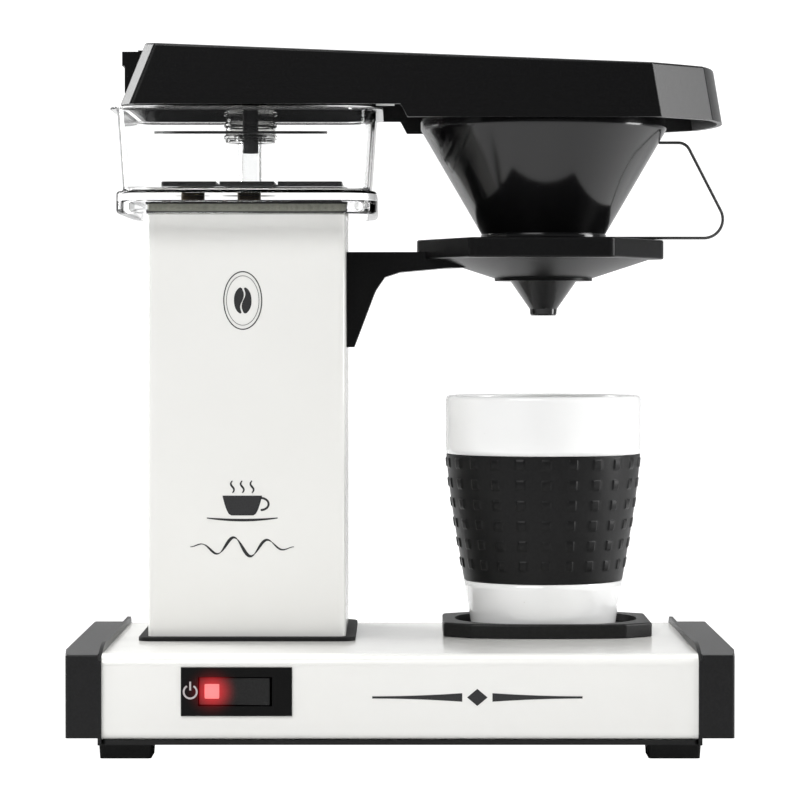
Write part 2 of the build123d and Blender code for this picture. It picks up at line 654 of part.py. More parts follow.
def riser_tube():
    """Glass tube that carries the hot water up out of the tank."""
    height = RISER_TOP - FLOOR_TOP
    return rod(TOWER_X, TOWER_Y, FLOOR_TOP, RISER_RADIUS, height) - rod(
        TOWER_X, TOWER_Y, FLOOR_TOP - 1.0, RISER_BORE, height + 2.0)


# ---- Hood -------------------------------------------------------------------------
HOOD_MID_Y = (HOOD_FRONT + HOOD_BACK) / 2
HOOD_CEILING = 304.0
CORNER_X = 4.7             # plan chamfer at the two left corners
CORNER_Y = 8.0
NOSE_X = 31.4              # plan chamfers at the two right corners, down to the round end
NOSE_Y = 25.0
NOSE_BULGE = 7.2


def hood_level(z, inset):
    """Outline of the hood at one height, its walls leaning in towards the top."""
    rise = z - HOOD_LOW
    front = HOOD_FRONT + inset + HOOD_DRAFT * rise
    back = HOOD_BACK - inset - HOOD_DRAFT * rise
    left = HOOD_LEFT + inset + HOOD_LEFT_DRAFT * rise
    right = HOOD_RIGHT - inset - HOOD_RIGHT_DRAFT * rise
    shoulder = right - NOSE_BULGE
    sides = Polyline(
        (shoulder, back - NOSE_Y),
        (right - NOSE_X, back),
        (left + CORNER_X, back),
        (left, back - CORNER_Y),
        (left, front + CORNER_Y),
        (left + CORNER_X, front),
        (right - NOSE_X, front),
        (shoulder, front + NOSE_Y),
    )
    end = ThreePointArc(sides @ 1, (right, HOOD_MID_Y), sides @ 0)
    return Pos(0, 0, z) * make_face(sides + end)


def under_top(drop, half_width=70.0):
    """Everything below the hood's crowned, sloping top, lowered by drop."""
    start_x = -140.0
    length = 300.0
    edge = HOOD_TOP_LEFT - drop + HOOD_FALL * 20.0
    floor = 200.0
    arc = ThreePointArc((HOOD_MID_Y - half_width, edge), (HOOD_MID_Y, edge + HOOD_CROWN),
                        (HOOD_MID_Y + half_width, edge))
    sides = Polyline(arc @ 1, (HOOD_MID_Y + half_width, floor), (HOOD_MID_Y - half_width, floor),
                     arc @ 0)
    face = Pos(start_x, 0, 0) * (Plane.YZ * make_face(arc + sides))
    return extrude(face, amount=length, dir=(1, 0, -HOOD_FALL))


def hood_block(inset, drop):
    """Drafted block of the hood's shape, inset all round and under its top."""
    walls = loft([hood_level(HOOD_LOW - 0.01 * (inset > 0), inset), hood_level(HOOD_CEILING, inset)],
                 ruled=True)
    return walls & under_top(drop)


def top_at(x):
    """Height of the top's crown line over x."""
    return HOOD_TOP_LEFT + HOOD_CROWN - HOOD_FALL * (x + 120.0)


LID_MID_X = (LID_LEFT + LID_RIGHT) / 2
LID_LENGTH = LID_RIGHT - LID_LEFT
HINGE_X = LID_RIGHT + 1.0
HINGE_Z = top_at(HINGE_X) - 1.2 - LID_BARREL_RADIUS
HINGE_GAP = 4.6
OPENING_WIDTH = LID_WIDTH + 1.0
CLIP_X = (-8.0, 40.0)
CLIP_LENGTH = 8.0
CLIP_SCREW_REACH = 9.0


def hood_cover():
    """One long moulded cover, open below, with the filling opening in its top."""
    outside = hood_block(0, 0)
    uprights = [e for e in outside.edges() if abs((e % 0.5).Z) > 0.5]
    outside = fillet(uprights, HOOD_CORNER_RADIUS)
    rim = [e for e in outside.edges() if e.center().Z > HOOD_STEP + 10.0 and abs((e % 0.5).Z) < 0.3]
    outside = fillet(rim, HOOD_RIM_RADIUS)
    cover = outside - hood_block(PLASTIC_WALL, PLASTIC_WALL)
    step_length = 140.0
    slope = 3.0
    step = Polyline(
        (HOOD_STEP_X - step_length, HOOD_LOW - 1.0),
        (HOOD_STEP_X + slope, HOOD_LOW - 1.0),
        (HOOD_STEP_X + slope, HOOD_LOW),
        (HOOD_STEP_X, HOOD_STEP),
        (HOOD_STEP_X - step_length, HOOD_STEP),
        close=True,
    )
    cover -= Pos(0, HOOD_BACK + 10.0, 0) * extrude(Plane.XZ * make_face(step), amount=150.0)
    opening_right = HINGE_X + HINGE_GAP
    opening_left = LID_LEFT - 0.5
    opening_x = (opening_left + opening_right) / 2
    opening_length = opening_right - opening_left
    cover -= block(opening_x, HOOD_MID_Y, 285.0, opening_length, OPENING_WIDTH, 30.0)
    ledge_skin = under_top(PLASTIC_WALL + FIT_GAP + 0.2) - under_top(PLASTIC_WALL + 2.0)
    ledge = 3.0
    ledge_length = opening_length - 2 * ledge
    frame = block(opening_x - 2 * ledge, HOOD_MID_Y, 280.0, ledge_length + 4 * ledge,
                  OPENING_WIDTH + 8.0, 40.0)
    frame -= block(opening_x, HOOD_MID_Y, 270.0, ledge_length, OPENING_WIDTH - 2 * ledge, 60.0)
    hinge_room = 9.0
    frame -= block(HINGE_X, HOOD_MID_Y, 270.0, hinge_room, OPENING_WIDTH + 20.0, 60.0)
    cover += ledge_skin & frame
    for side in (-1, 1):
        y = HOOD_MID_Y + side * (OPENING_WIDTH / 2 + 2.4)
        ear = Pos(HINGE_X, y, HINGE_Z) * Rot(90, 0, 0) * Cylinder(LID_BARREL_RADIUS + 0.8, 4.0)
        ear += block(HINGE_X, y, HINGE_Z, 2 * LID_BARREL_RADIUS + 1.6, 4.0, 2.6)
        cover += ear & under_top(0.5)
    cover -= Pos(HINGE_X, HOOD_MID_Y, HINGE_Z) * Rot(90, 0, 0) * Cylinder(1.05, LID_WIDTH + 8.0)
    notch_low = 290.6
    cover -= block(LID_LEFT - 6.0, HOOD_MID_Y, notch_low, 22.0, LID_TAB_WIDTH + 1.2, 20.0)
    for x in CLIP_X:
        for side in (-1, 1):
            low = PIPE_Z + 1.5
            y = HOOD_MID_Y + side * CLIP_SCREW_REACH
            boss = rod(x, y, low, 3.0, HOOD_CEILING - low) & under_top(PLASTIC_WALL - 0.5)
            boss -= rod(x, y, low - 1.0, 1.1, 6.0)
            cover += boss
    return cover


def fill_lid():
    """Hinged flap over the tank, with a finger tab that hooks over the left end."""
    skin = under_top(0) - under_top(LID_THICKNESS)
    plate = skin & block(LID_MID_X, HOOD_MID_Y, 270.0, LID_LENGTH, LID_WIDTH, 60.0)
    barrel = Pos(HINGE_X, HOOD_MID_Y, HINGE_Z) * Rot(90, 0, 0) * Cylinder(LID_BARREL_RADIUS, LID_WIDTH)
    web_height = 2.0
    web = block(LID_RIGHT - 0.4, HOOD_MID_Y, HINGE_Z, 2.8, LID_WIDTH, LID_BARREL_RADIUS + web_height)
    plate += barrel + (web & under_top(0))
    tongue_low = 292.4
    tongue = block(LID_LEFT - 8.0, HOOD_MID_Y, tongue_low, 22.0, LID_TAB_WIDTH,
                   LID_TAB_TOP - tongue_low)
    tongue = tongue & under_top(0)
    wall_gap = 0.8
    wall_x = HOOD_LEFT - wall_gap + HOOD_LEFT_DRAFT * (LID_TAB_LOW - HOOD_LOW)
    wall_top_x = HOOD_LEFT - wall_gap + HOOD_LEFT_DRAFT * (LID_TAB_TOP - HOOD_LOW)
    hook = Polyline(
        (wall_x, LID_TAB_LOW),
        (LID_TAB_OUT, LID_TAB_LOW),
        (LID_TAB_OUT, LID_TAB_TOP),
        (wall_top_x, LID_TAB_TOP),
        close=True,
    )
    hook_face = Plane.XZ * make_face(hook)
    hook_solid = Pos(0, HOOD_MID_Y, 0) * extrude(hook_face, amount=LID_TAB_WIDTH / 2, both=True)
    corner = hook_solid.edges().filter_by(Axis.Y).sort_by(lambda e: e.center().X - e.center().Z)[0]
    hook_solid = fillet(corner, 4.5)
    plate += tongue + hook_solid
    plate -= Pos(HINGE_X, HOOD_MID_Y, HINGE_Z) * Rot(90, 0, 0) * Cylinder(1.05, LID_WIDTH + 20.0)
    return plate


def lid_pin():
    """Steel pin that the filling lid turns on."""
    return Pos(HINGE_X, HOOD_MID_Y, HINGE_Z) * Rot(90, 0, 0) * Cylinder(1.0, LID_WIDTH + 6.0)


def outlet_tube():
    """Pipe from the riser's collar, along under the hood's top, down to the spray head."""
    route = [(TOWER_X, TOWER_Y, COLLAR_TOP), (TOWER_X, TOWER_Y, PIPE_Z),
             (BREW_X, BREW_Y, PIPE_Z), (BREW_X, BREW_Y, COLLAR_TOP)]
    return pipe_along(route, 5.5, PIPE_RADIUS, PIPE_BORE)


def spray_head():
    """Flat hollow disc with drip holes over the middle of the cone."""
    low = 269.6
    height = COLLAR_TOP - low
    radius = 20.0
    wall = 1.8
    head = rod(BREW_X, BREW_Y, low, radius, height)
    head = fillet(head.edges().group_by(Axis.Z)[0], 1.2)
    head -= rod(BREW_X, BREW_Y, low + 1.2, radius - wall, height - 2.6)
    head -= rod(BREW_X, BREW_Y, low + 2.0, PIPE_BORE, height)
    holes = [(0, 0)] + [(r * cos(radians(a)), r * sin(radians(a)))
                        for r, n in ((8.0, 6), (14.5, 12)) for a in range(0, 360, 360 // n)]
    for x, y in holes:
        head -= rod(BREW_X + x, BREW_Y + y, low - 1.0, 1.0, 3.5)
    return head


def riser_collar():
    """Stepped grey collar that slips over the top of the riser."""
    collar = rod(TOWER_X, TOWER_Y, COLLAR_LOW, COLLAR_RADIUS, COLLAR_TOP - COLLAR_LOW)
    collar = fillet(collar.edges().group_by(Axis.Z)[0], 2.0)
    ring_heights = (261.8, 269.6)
    for z in ring_heights:
        ring = rod(TOWER_X, TOWER_Y, z, COLLAR_RADIUS + 1.0, 0.9)
        collar -= ring - rod(TOWER_X, TOWER_Y, z - 1.0, COLLAR_RADIUS - 0.6, 3.0)
    collar -= rod(TOWER_X, TOWER_Y, COLLAR_LOW - 1.0, RISER_RADIUS + FIT_GAP,
                  RISER_TOP - COLLAR_LOW + 1.0 + FIT_GAP)
    collar -= rod(TOWER_X, TOWER_Y, RISER_TOP - 1.0, CORE_RADIUS, COLLAR_TOP - RISER_TOP + 2.0)
    cavity_low = RISER_TOP + 2.0
    collar -= rod(TOWER_X, TOWER_Y, cavity_low, COLLAR_CAVITY, COLLAR_TOP - 2.0 - cavity_low)
    groove = Cylinder(COLLAR_RADIUS + 1.0, DISC_THICKNESS + 2 * DISC_PLAY)
    groove -= Cylinder(DISC_BORE - 0.15, 2 * DISC_THICKNESS)
    return collar - Pos(TOWER_X, TOWER_Y, DISC_Z) * Rot(DISC_TILT, 0, 0) * groove


def core_pipe():
    """Black inner pipe that reaches down into the glass riser."""
    height = COLLAR_TOP - CORE_LOW
    return rod(TOWER_X, TOWER_Y, CORE_LOW, CORE_RADIUS, height) - rod(
        TOWER_X, TOWER_Y, CORE_LOW - 1.0, 2.2, height + 2.0)


def splash_disc():
    """Thin black disc held in the collar's groove, off centre."""
    disc = Pos(DISC_OFFSET, 0, 0) * Cylinder(DISC_RADIUS, DISC_THICKNESS)
    disc -= Cylinder(DISC_BORE, 2 * DISC_THICKNESS)
    return Pos(TOWER_X, TOWER_Y, DISC_Z - DISC_PLAY) * Rot(DISC_TILT, 0, 0) * disc


def tube_clips():
    """Two saddles that hold the outlet pipe up against the hood."""
    clips = []
    for x in CLIP_X:
        strap = Pos(x, BREW_Y, PIPE_Z) * Rot(0, 90, 0) * Cylinder(PIPE_RADIUS + 1.3, CLIP_LENGTH)
        strap += block(x, BREW_Y, PIPE_Z, CLIP_LENGTH, 25.0, 1.5)
        strap -= Pos(x, BREW_Y, PIPE_Z) * Rot(0, 90, 0) * Cylinder(PIPE_RADIUS + 0.1, CLIP_LENGTH + 2.0)
        strap -= block(x, BREW_Y, PIPE_Z + 1.5, CLIP_LENGTH + 2.0, 12.0, 8.0)
        for side in (-1, 1):
            strap -= rod(x, BREW_Y + side * CLIP_SCREW_REACH, PIPE_Z - 1.0, 1.3, 5.0)
        clips.append(strap)
    return Compound(clips)


def clip_screws():
    """Four small screws through the saddles into the hood's bosses."""
    head_height = 1.4
    screw = pan_screw(2.3, head_height, 1.0, 5.5)
    return Compound([Pos(x, BREW_Y + side * CLIP_SCREW_REACH, PIPE_Z - head_height) * screw
                     for x in CLIP_X for side in (-1, 1)])


# ---- Filter holder and basket -----------------------------------------------------
HOLE_LOW_RADIUS = 15.5
HOLE_LOW_Z = 198.5
NOZZLE_SLOPE = (NOZZLE_TOP_RADIUS - NOZZLE_LOW_RADIUS) / (NOZZLE_TOP_Z - NOZZLE_LOW_Z)


def filter_holder():
    """Six-sided plate on an arm that is screwed to the tower's side."""
    corners = [(-PLATE_FLAT_LEFT, -PLATE_HALF_DEPTH), (PLATE_FLAT_RIGHT, -PLATE_HALF_DEPTH),
               (PLATE_RIGHT, 0), (PLATE_FLAT_RIGHT, PLATE_HALF_DEPTH),
               (-PLATE_FLAT_LEFT, PLATE_HALF_DEPTH), (-PLATE_LEFT, 0)]
    outline = make_face(Polyline(*corners, close=True))
    by_x = outline.vertices().group_by(Axis.X)
    outline = fillet(by_x[0] + by_x[-1], 12.0)
    front_back = outline.vertices().group_by(Axis.Y)
    outline = fillet(front_back[0] + front_back[-1], 5.0)
    low = PLATE_TOP - PLATE_THICKNESS
    plate = Pos(BREW_X, BREW_Y, low) * extrude(outline, amount=PLATE_THICKNESS)
    plate = fillet(plate.edges().group_by(Axis.Z)[-1], 0.8)
    plate = fillet(plate.edges().group_by(Axis.Z)[0], 0.8)
    bowl_top_radius = 47.0
    bowl_low_radius = 21.5
    plate += turned(BREW_X, BREW_Y, [
        (0, low + 2.0),
        (bowl_top_radius, low + 2.0),
        (bowl_top_radius, low),
        (bowl_low_radius, HOLE_LOW_Z + 1.2),
        (bowl_low_radius, HOLE_LOW_Z),
        (0, HOLE_LOW_Z),
    ])
    arm_end = BREW_X - 30.0
    heel_low = 169.4
    knee = (-12.2, 194.2)
    arm_points = Polyline(
        (TOWER_RIGHT, ARM_TOP),
        (arm_end, ARM_TOP),
        (arm_end, 204.5),
        (18.2, 204.1),
        (-1.5, 202.3),
        (-8.1, 200.1),
        knee,
        (-21.6, heel_low),
        (TOWER_RIGHT, heel_low),
        close=True,
    )
    arm_face = make_face(arm_points)
    inner_corner = arm_face.vertices().sort_by(lambda v: abs(v.X - knee[0]) + abs(v.Y - knee[1]))[0]
    arm_face = fillet(inner_corner, 12.0)
    arm = extrude(Plane.XZ * arm_face, amount=ARM_WIDTH / 2, both=True)
    plate += Pos(0, BREW_Y, 0) * arm
    for z in HOLDER_SCREW_Z:
        plate -= Pos(TOWER_RIGHT, BREW_Y, z) * Rot(0, 90, 0) * Cylinder(1.6, 14.0)
    hole_rise = 14.0
    hole_top = HOLE_LOW_RADIUS + NOZZLE_SLOPE * hole_rise
    plate -= turned(BREW_X, BREW_Y, [
        (0, HOLE_LOW_Z - 1.0),
        (HOLE_LOW_RADIUS, HOLE_LOW_Z - 1.0),
        (HOLE_LOW_RADIUS, HOLE_LOW_Z),
        (hole_top, HOLE_LOW_Z + hole_rise),
        (hole_top, PLATE_TOP + 1.0),
        (0, PLATE_TOP + 1.0),
    ])
    return plate


def holder_screws():
    """Two screws from inside the tower into the arm."""
    head_height = 2.2
    screw = Rot(0, 90, 0) * pan_screw(3.5, head_height, 1.5, 6.0)
    start = TOWER_RIGHT - SHEET - head_height
    return Compound([Pos(start, BREW_Y, z) * screw for z in HOLDER_SCREW_Z])


def basket_cone():
    """Moulded cone that takes the paper filter, standing on the holder's plate."""
    wall = CONE_WALL
    slope = (CONE_RIM_RADIUS - CONE_FOOT_RADIUS) / (CONE_RIM_Z - CONE_FOOT_Z)
    floor = 3.0
    return turned(BREW_X, BREW_Y, [
        (9.0, CONE_FOOT_Z + floor - 0.6),
        (CONE_FOOT_RADIUS - wall + slope * floor, CONE_FOOT_Z + floor),
        (CONE_RIM_RADIUS - wall, CONE_RIM_Z),
        (CONE_RIM_RADIUS - wall, CONE_LIP_TOP - 0.6),
        (CONE_RIM_RADIUS - wall + 0.6, CONE_LIP_TOP),
        (CONE_RIM_RADIUS - 0.4, CONE_LIP_TOP),
        (CONE_RIM_RADIUS, CONE_LIP_TOP - 0.6),
        (CONE_RIM_RADIUS, CONE_RIM_Z),
        (CONE_FOOT_RADIUS + 1.0 + slope, CONE_FOOT_Z + 2.0),
        (CONE_FOOT_RADIUS + 1.6, CONE_FOOT_Z + 1.6),
        (CONE_FOOT_RADIUS + 1.6, CONE_FOOT_Z),
        (9.0, CONE_FOOT_Z),
    ])


def basket_outlet():
    """Funnel under the cone's floor that narrows to the spout."""
    wall = 1.6
    top = CONE_FOOT_Z
    return turned(BREW_X, BREW_Y, [
        (NOZZLE_TOP_RADIUS - wall, top),
        (NOZZLE_TOP_RADIUS, top),
        (NOZZLE_TOP_RADIUS, NOZZLE_TOP_Z),
        (NOZZLE_LOW_RADIUS, NOZZLE_LOW_Z),
        (NOZZLE_END_RADIUS + 0.4, NOZZLE_END_Z + 0.6),
        (NOZZLE_END_RADIUS, NOZZLE_END_Z),
        (NOZZLE_END_RADIUS - wall, NOZZLE_END_Z),
        (NOZZLE_LOW_RADIUS - wall, NOZZLE_LOW_Z + 1.0),
        (NOZZLE_TOP_RADIUS - wall, NOZZLE_TOP_Z + 0.9),
    ])


def basket_handle():
    """Bent wire loop at the right of the cone, from its rim down to its foot."""
    slope = (CONE_RIM_RADIUS - CONE_FOOT_RADIUS) / (CONE_RIM_Z - CONE_FOOT_Z)
    top_z = HANDLE_TOP_Z
    low_z = PLATE_TOP + FIT_GAP + WIRE_RADIUS
    top_x = BREW_X + CONE_RIM_RADIUS - slope * (CONE_RIM_Z - top_z)
    foot_x = BREW_X + CONE_FOOT_RADIUS + 1.6
    route = [(top_x, BREW_Y, top_z), (HANDLE_TOP_X, BREW_Y, top_z), (HANDLE_LOW_X, BREW_Y, low_z),
             (foot_x, BREW_Y, low_z)]
    path = FilletPolyline(*route, radius=HANDLE_BENDS)
    section = Plane(origin=path @ 0, z_dir=path % 0)
    return sweep(section * Circle(WIRE_RADIUS), path=path)


# ---- Trivet and mug ---------------------------------------------------------------
def trivet():
    """Rubber stand for the mug, bowed at the front and back, with a wide recess."""
    half_width = TRIVET_WIDTH / 2
    half_depth = TRIVET_DEPTH / 2
    corner = 12.0
    bow = 3.0
    front = ThreePointArc((-half_width + corner, bow - half_depth), (0, -half_depth),
                          (half_width - corner, bow - half_depth))
    back = ThreePointArc((half_width - corner, half_depth - bow), (0, half_depth),
                         (-half_width + corner, half_depth - bow))
    right = Polyline(front @ 1, (half_width, corner - half_depth), (half_width, half_depth - corner),
                     back @ 0)
    left = Polyline(back @ 1, (-half_width, half_depth - corner), (-half_width, corner - half_depth),
                    front @ 0)
    height = TRIVET_TOP - BASE_TOP - FIT_GAP
    outline = make_face(front + right + back + left)
    outline = fillet(outline.vertices(), 3.0)
    body = extrude(outline, amount=height)
    body = fillet(body.edges().group_by(Axis.Z)[-1], 1.0)
    body -= rounded_block(0, 0, height - TRIVET_RECESS_DEPTH, TRIVET_RECESS_WIDTH, TRIVET_RECESS_LENGTH,
                          TRIVET_RECESS_DEPTH + 1.0, TRIVET_RECESS_CORNER)
    return Pos(BREW_X + TRIVET_SHIFT, BREW_Y, BASE_TOP + FIT_GAP) * body


def mug_body():
    """White porcelain cup with a thick floor and a rolled rim."""
    floor = 6.0
    return turned(BREW_X, BREW_Y, [
        (0, MUG_FOOT_Z + 1.2),
        (MUG_FOOT_RADIUS - 5.0, MUG_FOOT_Z + 1.2),
        (MUG_FOOT_RADIUS - 4.2, MUG_FOOT_Z),
        (MUG_FOOT_RADIUS - 1.0, MUG_FOOT_Z),
        (MUG_FOOT_RADIUS, MUG_FOOT_Z + 1.0),
        (GRIP_LOW_RADIUS, GRIP_LOW),
        (GRIP_LOW_RADIUS - GRIP_RECESS, GRIP_LOW),
        (GRIP_HIGH_RADIUS - GRIP_RECESS, GRIP_HIGH),
        (GRIP_HIGH_RADIUS, GRIP_HIGH),
        (MUG_RIM_RADIUS, MUG_RIM_Z - 1.6),
        (MUG_RIM_RADIUS - 0.8, MUG_RIM_Z - 0.2),
        (MUG_RIM_RADIUS - 1.8, MUG_RIM_Z),
        (MUG_RIM_RADIUS - 2.8, MUG_RIM_Z - 0.4),
        (MUG_RIM_RADIUS - MUG_WALL, MUG_RIM_Z - 2.4),
        (GRIP_HIGH_RADIUS - MUG_WALL, GRIP_HIGH),
        (GRIP_LOW_RADIUS - MUG_WALL, GRIP_LOW),
        (MUG_FOOT_RADIUS - MUG_WALL, MUG_FOOT_Z + floor + 4.0),
        (MUG_FOOT_RADIUS - MUG_WALL - 4.0, MUG_FOOT_Z + floor),
        (0, MUG_FOOT_Z + floor),
    ])


def mug_grip():
    """Silicone sleeve stretched into the shallow recess round the mug."""
    low_radius = GRIP_LOW_RADIUS - GRIP_RECESS + GRIP_BED
    high_radius = GRIP_HIGH_RADIUS - GRIP_RECESS + GRIP_BED
    low = GRIP_LOW + GRIP_PLAY
    high = GRIP_HIGH - GRIP_PLAY
    return turned(BREW_X, BREW_Y, [
        (low_radius, low),
        (low_radius + GRIP_THICKNESS, low),
        (high_radius + GRIP_THICKNESS, high),
        (high_radius, high),
    ])


# ---- Write one file per piece -----------------------------------------------------
PIECES = {
    "base_shell": base_shell(),
    "bottom_plate": bottom_plate(),
    "side_plate_left": side_plate(-1),
    "side_plate_right": side_plate(1),
    "end_cap_left": end_cap(-1),
    "end_cap_right": end_cap(1),
    "feet": feet(),
    "base_screws": base_screws(),
    "cord_gland": cord_gland(),
    "terminal_block": terminal_block(),
    "switch_bezel": switch_bezel(),
    "switch_housing": switch_housing(),
    "switch_rocker": switch_rocker(),
    "switch_lens": switch_lens(),
    "tower_gasket": tower_gasket(),
    "tower_shell": tower_shell(),
    "tower_frame": tower_frame(),
    "tower_screws": tower_screws(),
    "tower_top_plate": tower_top_plate(),
    "tank_seal": tank_seal(),
    "boiler_tube": boiler_tube(),
    "heating_element": heating_element(),
    "boiler_clamps": boiler_clamps(),
    "thermostats": thermostats(),
    "check_valve": check_valve(),
    "riser_fitting": riser_fitting(),
    "water_tank": water_tank(),
    "outlet_nut": outlet_nut(),
    "element_cover": element_cover(),
    "riser_tube": riser_tube(),
    "hood_cover": hood_cover(),
    "fill_lid": fill_lid(),
    "lid_pin": lid_pin(),
    "outlet_tube": outlet_tube(),
    "spray_head": spray_head(),
    "riser_collar": riser_collar(),
    "core_pipe": core_pipe(),
    "splash_disc": splash_disc(),
    "tube_clips": tube_clips(),
    "clip_screws": clip_screws(),
    "filter_holder": filter_holder(),
    "holder_screws": holder_screws(),
    "basket_cone": basket_cone(),
    "basket_outlet": basket_outlet(),
    "basket_handle": basket_handle(),
    "trivet": trivet(),
    "mug_body": mug_body(),
    "mug_grip": mug_grip(),
}

os.makedirs("parts", exist_ok=True)
for name, piece in PIECES.items():
    export_step(piece, f"parts/{name}.step")
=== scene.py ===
import math

import bpy
import numpy as np
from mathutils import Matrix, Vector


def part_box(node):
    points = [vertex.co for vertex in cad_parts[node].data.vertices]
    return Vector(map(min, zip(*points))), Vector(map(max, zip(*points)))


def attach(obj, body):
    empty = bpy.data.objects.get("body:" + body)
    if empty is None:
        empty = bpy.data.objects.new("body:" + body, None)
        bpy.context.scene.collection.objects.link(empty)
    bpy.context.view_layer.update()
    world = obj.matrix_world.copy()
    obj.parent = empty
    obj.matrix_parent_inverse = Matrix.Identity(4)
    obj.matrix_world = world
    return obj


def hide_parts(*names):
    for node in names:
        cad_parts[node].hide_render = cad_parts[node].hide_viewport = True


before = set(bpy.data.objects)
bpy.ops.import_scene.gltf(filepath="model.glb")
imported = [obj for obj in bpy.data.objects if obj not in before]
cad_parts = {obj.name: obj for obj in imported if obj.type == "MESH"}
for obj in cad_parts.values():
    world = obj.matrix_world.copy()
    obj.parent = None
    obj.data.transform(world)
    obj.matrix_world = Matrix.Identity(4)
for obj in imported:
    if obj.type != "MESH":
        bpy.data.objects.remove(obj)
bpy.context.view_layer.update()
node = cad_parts

# ---- The studio -------------------------------------------------------------------
# A pale table that runs up into a pale wall, two tall soft boxes at the machine's sides, a wide one overhead
# and the main one high at the front left. The camera stands square to the front, on the base's middle.
FLOOR_HALF_WIDTH = 2.6
FLOOR_FRONT = -2.4
FLOOR_ROWS = 20
BEND_ROWS = 25
FLOOR_COLUMNS = 12
WALL_START = 1.0
WALL_BEND = 0.9
WALL_TOP = 3.0
LIT_HALF_WIDTH = 0.55
LIT_FADE = 0.3
PAPER_GLOW = 1.25
CAMERA_DISTANCE = 1.4
CAMERA_HEIGHT = 0.1778
CAMERA_PITCH = math.radians(1.207)
CAMERA_LENS = 153.7
SENSOR = 36.0


def grid_mesh(name, points, around=True, along=False, poles=(False, False)):
    """A mesh of quads over points[row, column]. around joins the last column to the first, along joins the
    last row to the first, and a pole closes an end row with a fan to the mean of its points."""
    rows, columns = points.shape[:2]
    row_count = rows if along else rows - 1
    column_count = columns if around else columns - 1
    r, c = np.meshgrid(np.arange(row_count), np.arange(column_count), indexing="ij")
    r, c = r.ravel(), c.ravel()
    below, beside = (r + 1) % rows, (c + 1) % columns
    quads = np.stack([r * columns + c, r * columns + beside,
                      below * columns + beside, below * columns + c], 1)
    vertices = [points.reshape(-1, 3)]
    faces = quads.tolist()
    for pole, row in zip(poles, (0, rows - 1)):
        if pole:
            tip = sum(len(v) for v in vertices)
            vertices.append(points[row].mean(0)[None])
            start = np.arange(columns) + row * columns
            other = (np.arange(columns) + 1) % columns + row * columns
            fan = np.stack([other, start, np.full(columns, tip)], 1)
            faces += (fan if row == 0 else fan[:, [1, 0, 2]]).tolist()
    mesh = bpy.data.meshes.new(name)
    mesh.from_pydata(np.concatenate(vertices).tolist(), [], faces)
    mesh.polygons.foreach_set("use_smooth", np.ones(len(mesh.polygons), bool))
    mesh.validate()
    piece = bpy.data.objects.new(name, mesh)
    bpy.context.scene.collection.objects.link(piece)
    return piece


def new_material(name):
    """A new node material, its node tree and its Principled shader."""
    material = bpy.data.materials.new(name)
    material.use_nodes = True
    tree = material.node_tree
    shader = tree.nodes["Principled BSDF"]
    return material, tree, shader


def add(tree, kind, inputs=None, **settings):
    """A node of one kind, with plain values or linked sockets for its inputs."""
    made = tree.nodes.new(kind)
    for key, value in settings.items():
        setattr(made, key, value)
    for key, value in (inputs or {}).items():
        if isinstance(value, bpy.types.NodeSocket):
            tree.links.new(value, made.inputs[key])
        else:
            made.inputs[key].default_value = value
    return made


def object_point(tree):
    """The place on the piece, in metres in the machine's own frame."""
    return add(tree, "ShaderNodeTexCoord").outputs["Object"]


def ramp(tree, factor, stops):
    """A colour or grey ramp through (position, colour) stops."""
    made = add(tree, "ShaderNodeValToRGB", {"Fac": factor})
    elements = made.color_ramp.elements
    while len(elements) < len(stops):
        elements.new(0.5)
    for element, (position, colour) in zip(elements, stops):
        element.position = position
        element.color = colour if len(colour) == 4 else (*colour, 1.0)
    return made.outputs["Color"]


def grey(value):
    """An even grey as a colour with full alpha."""
    return (value, value, value, 1.0)


def studio_floor():
    """A sheet that is flat to y = start and then bends up through a quarter circle into a wall."""
    bend = np.linspace(0.0, math.pi / 2, BEND_ROWS)[1:]
    flat = np.linspace(FLOOR_FRONT, WALL_START, FLOOR_ROWS)
    y = np.concatenate([flat, WALL_START + WALL_BEND * np.sin(bend)])
    z = np.concatenate([np.zeros(FLOOR_ROWS), WALL_BEND * (1 - np.cos(bend))])
    y, z = np.append(y, y[-1]), np.append(z, WALL_TOP)
    x = np.linspace(-FLOOR_HALF_WIDTH, FLOOR_HALF_WIDTH, FLOOR_COLUMNS)
    grid_x, grid_y = np.meshgrid(x, y)
    points = np.stack([grid_x, grid_y, np.repeat(z[:, None], len(x), 1)], 2)
    return grid_mesh("studio_floor", points, around=False)


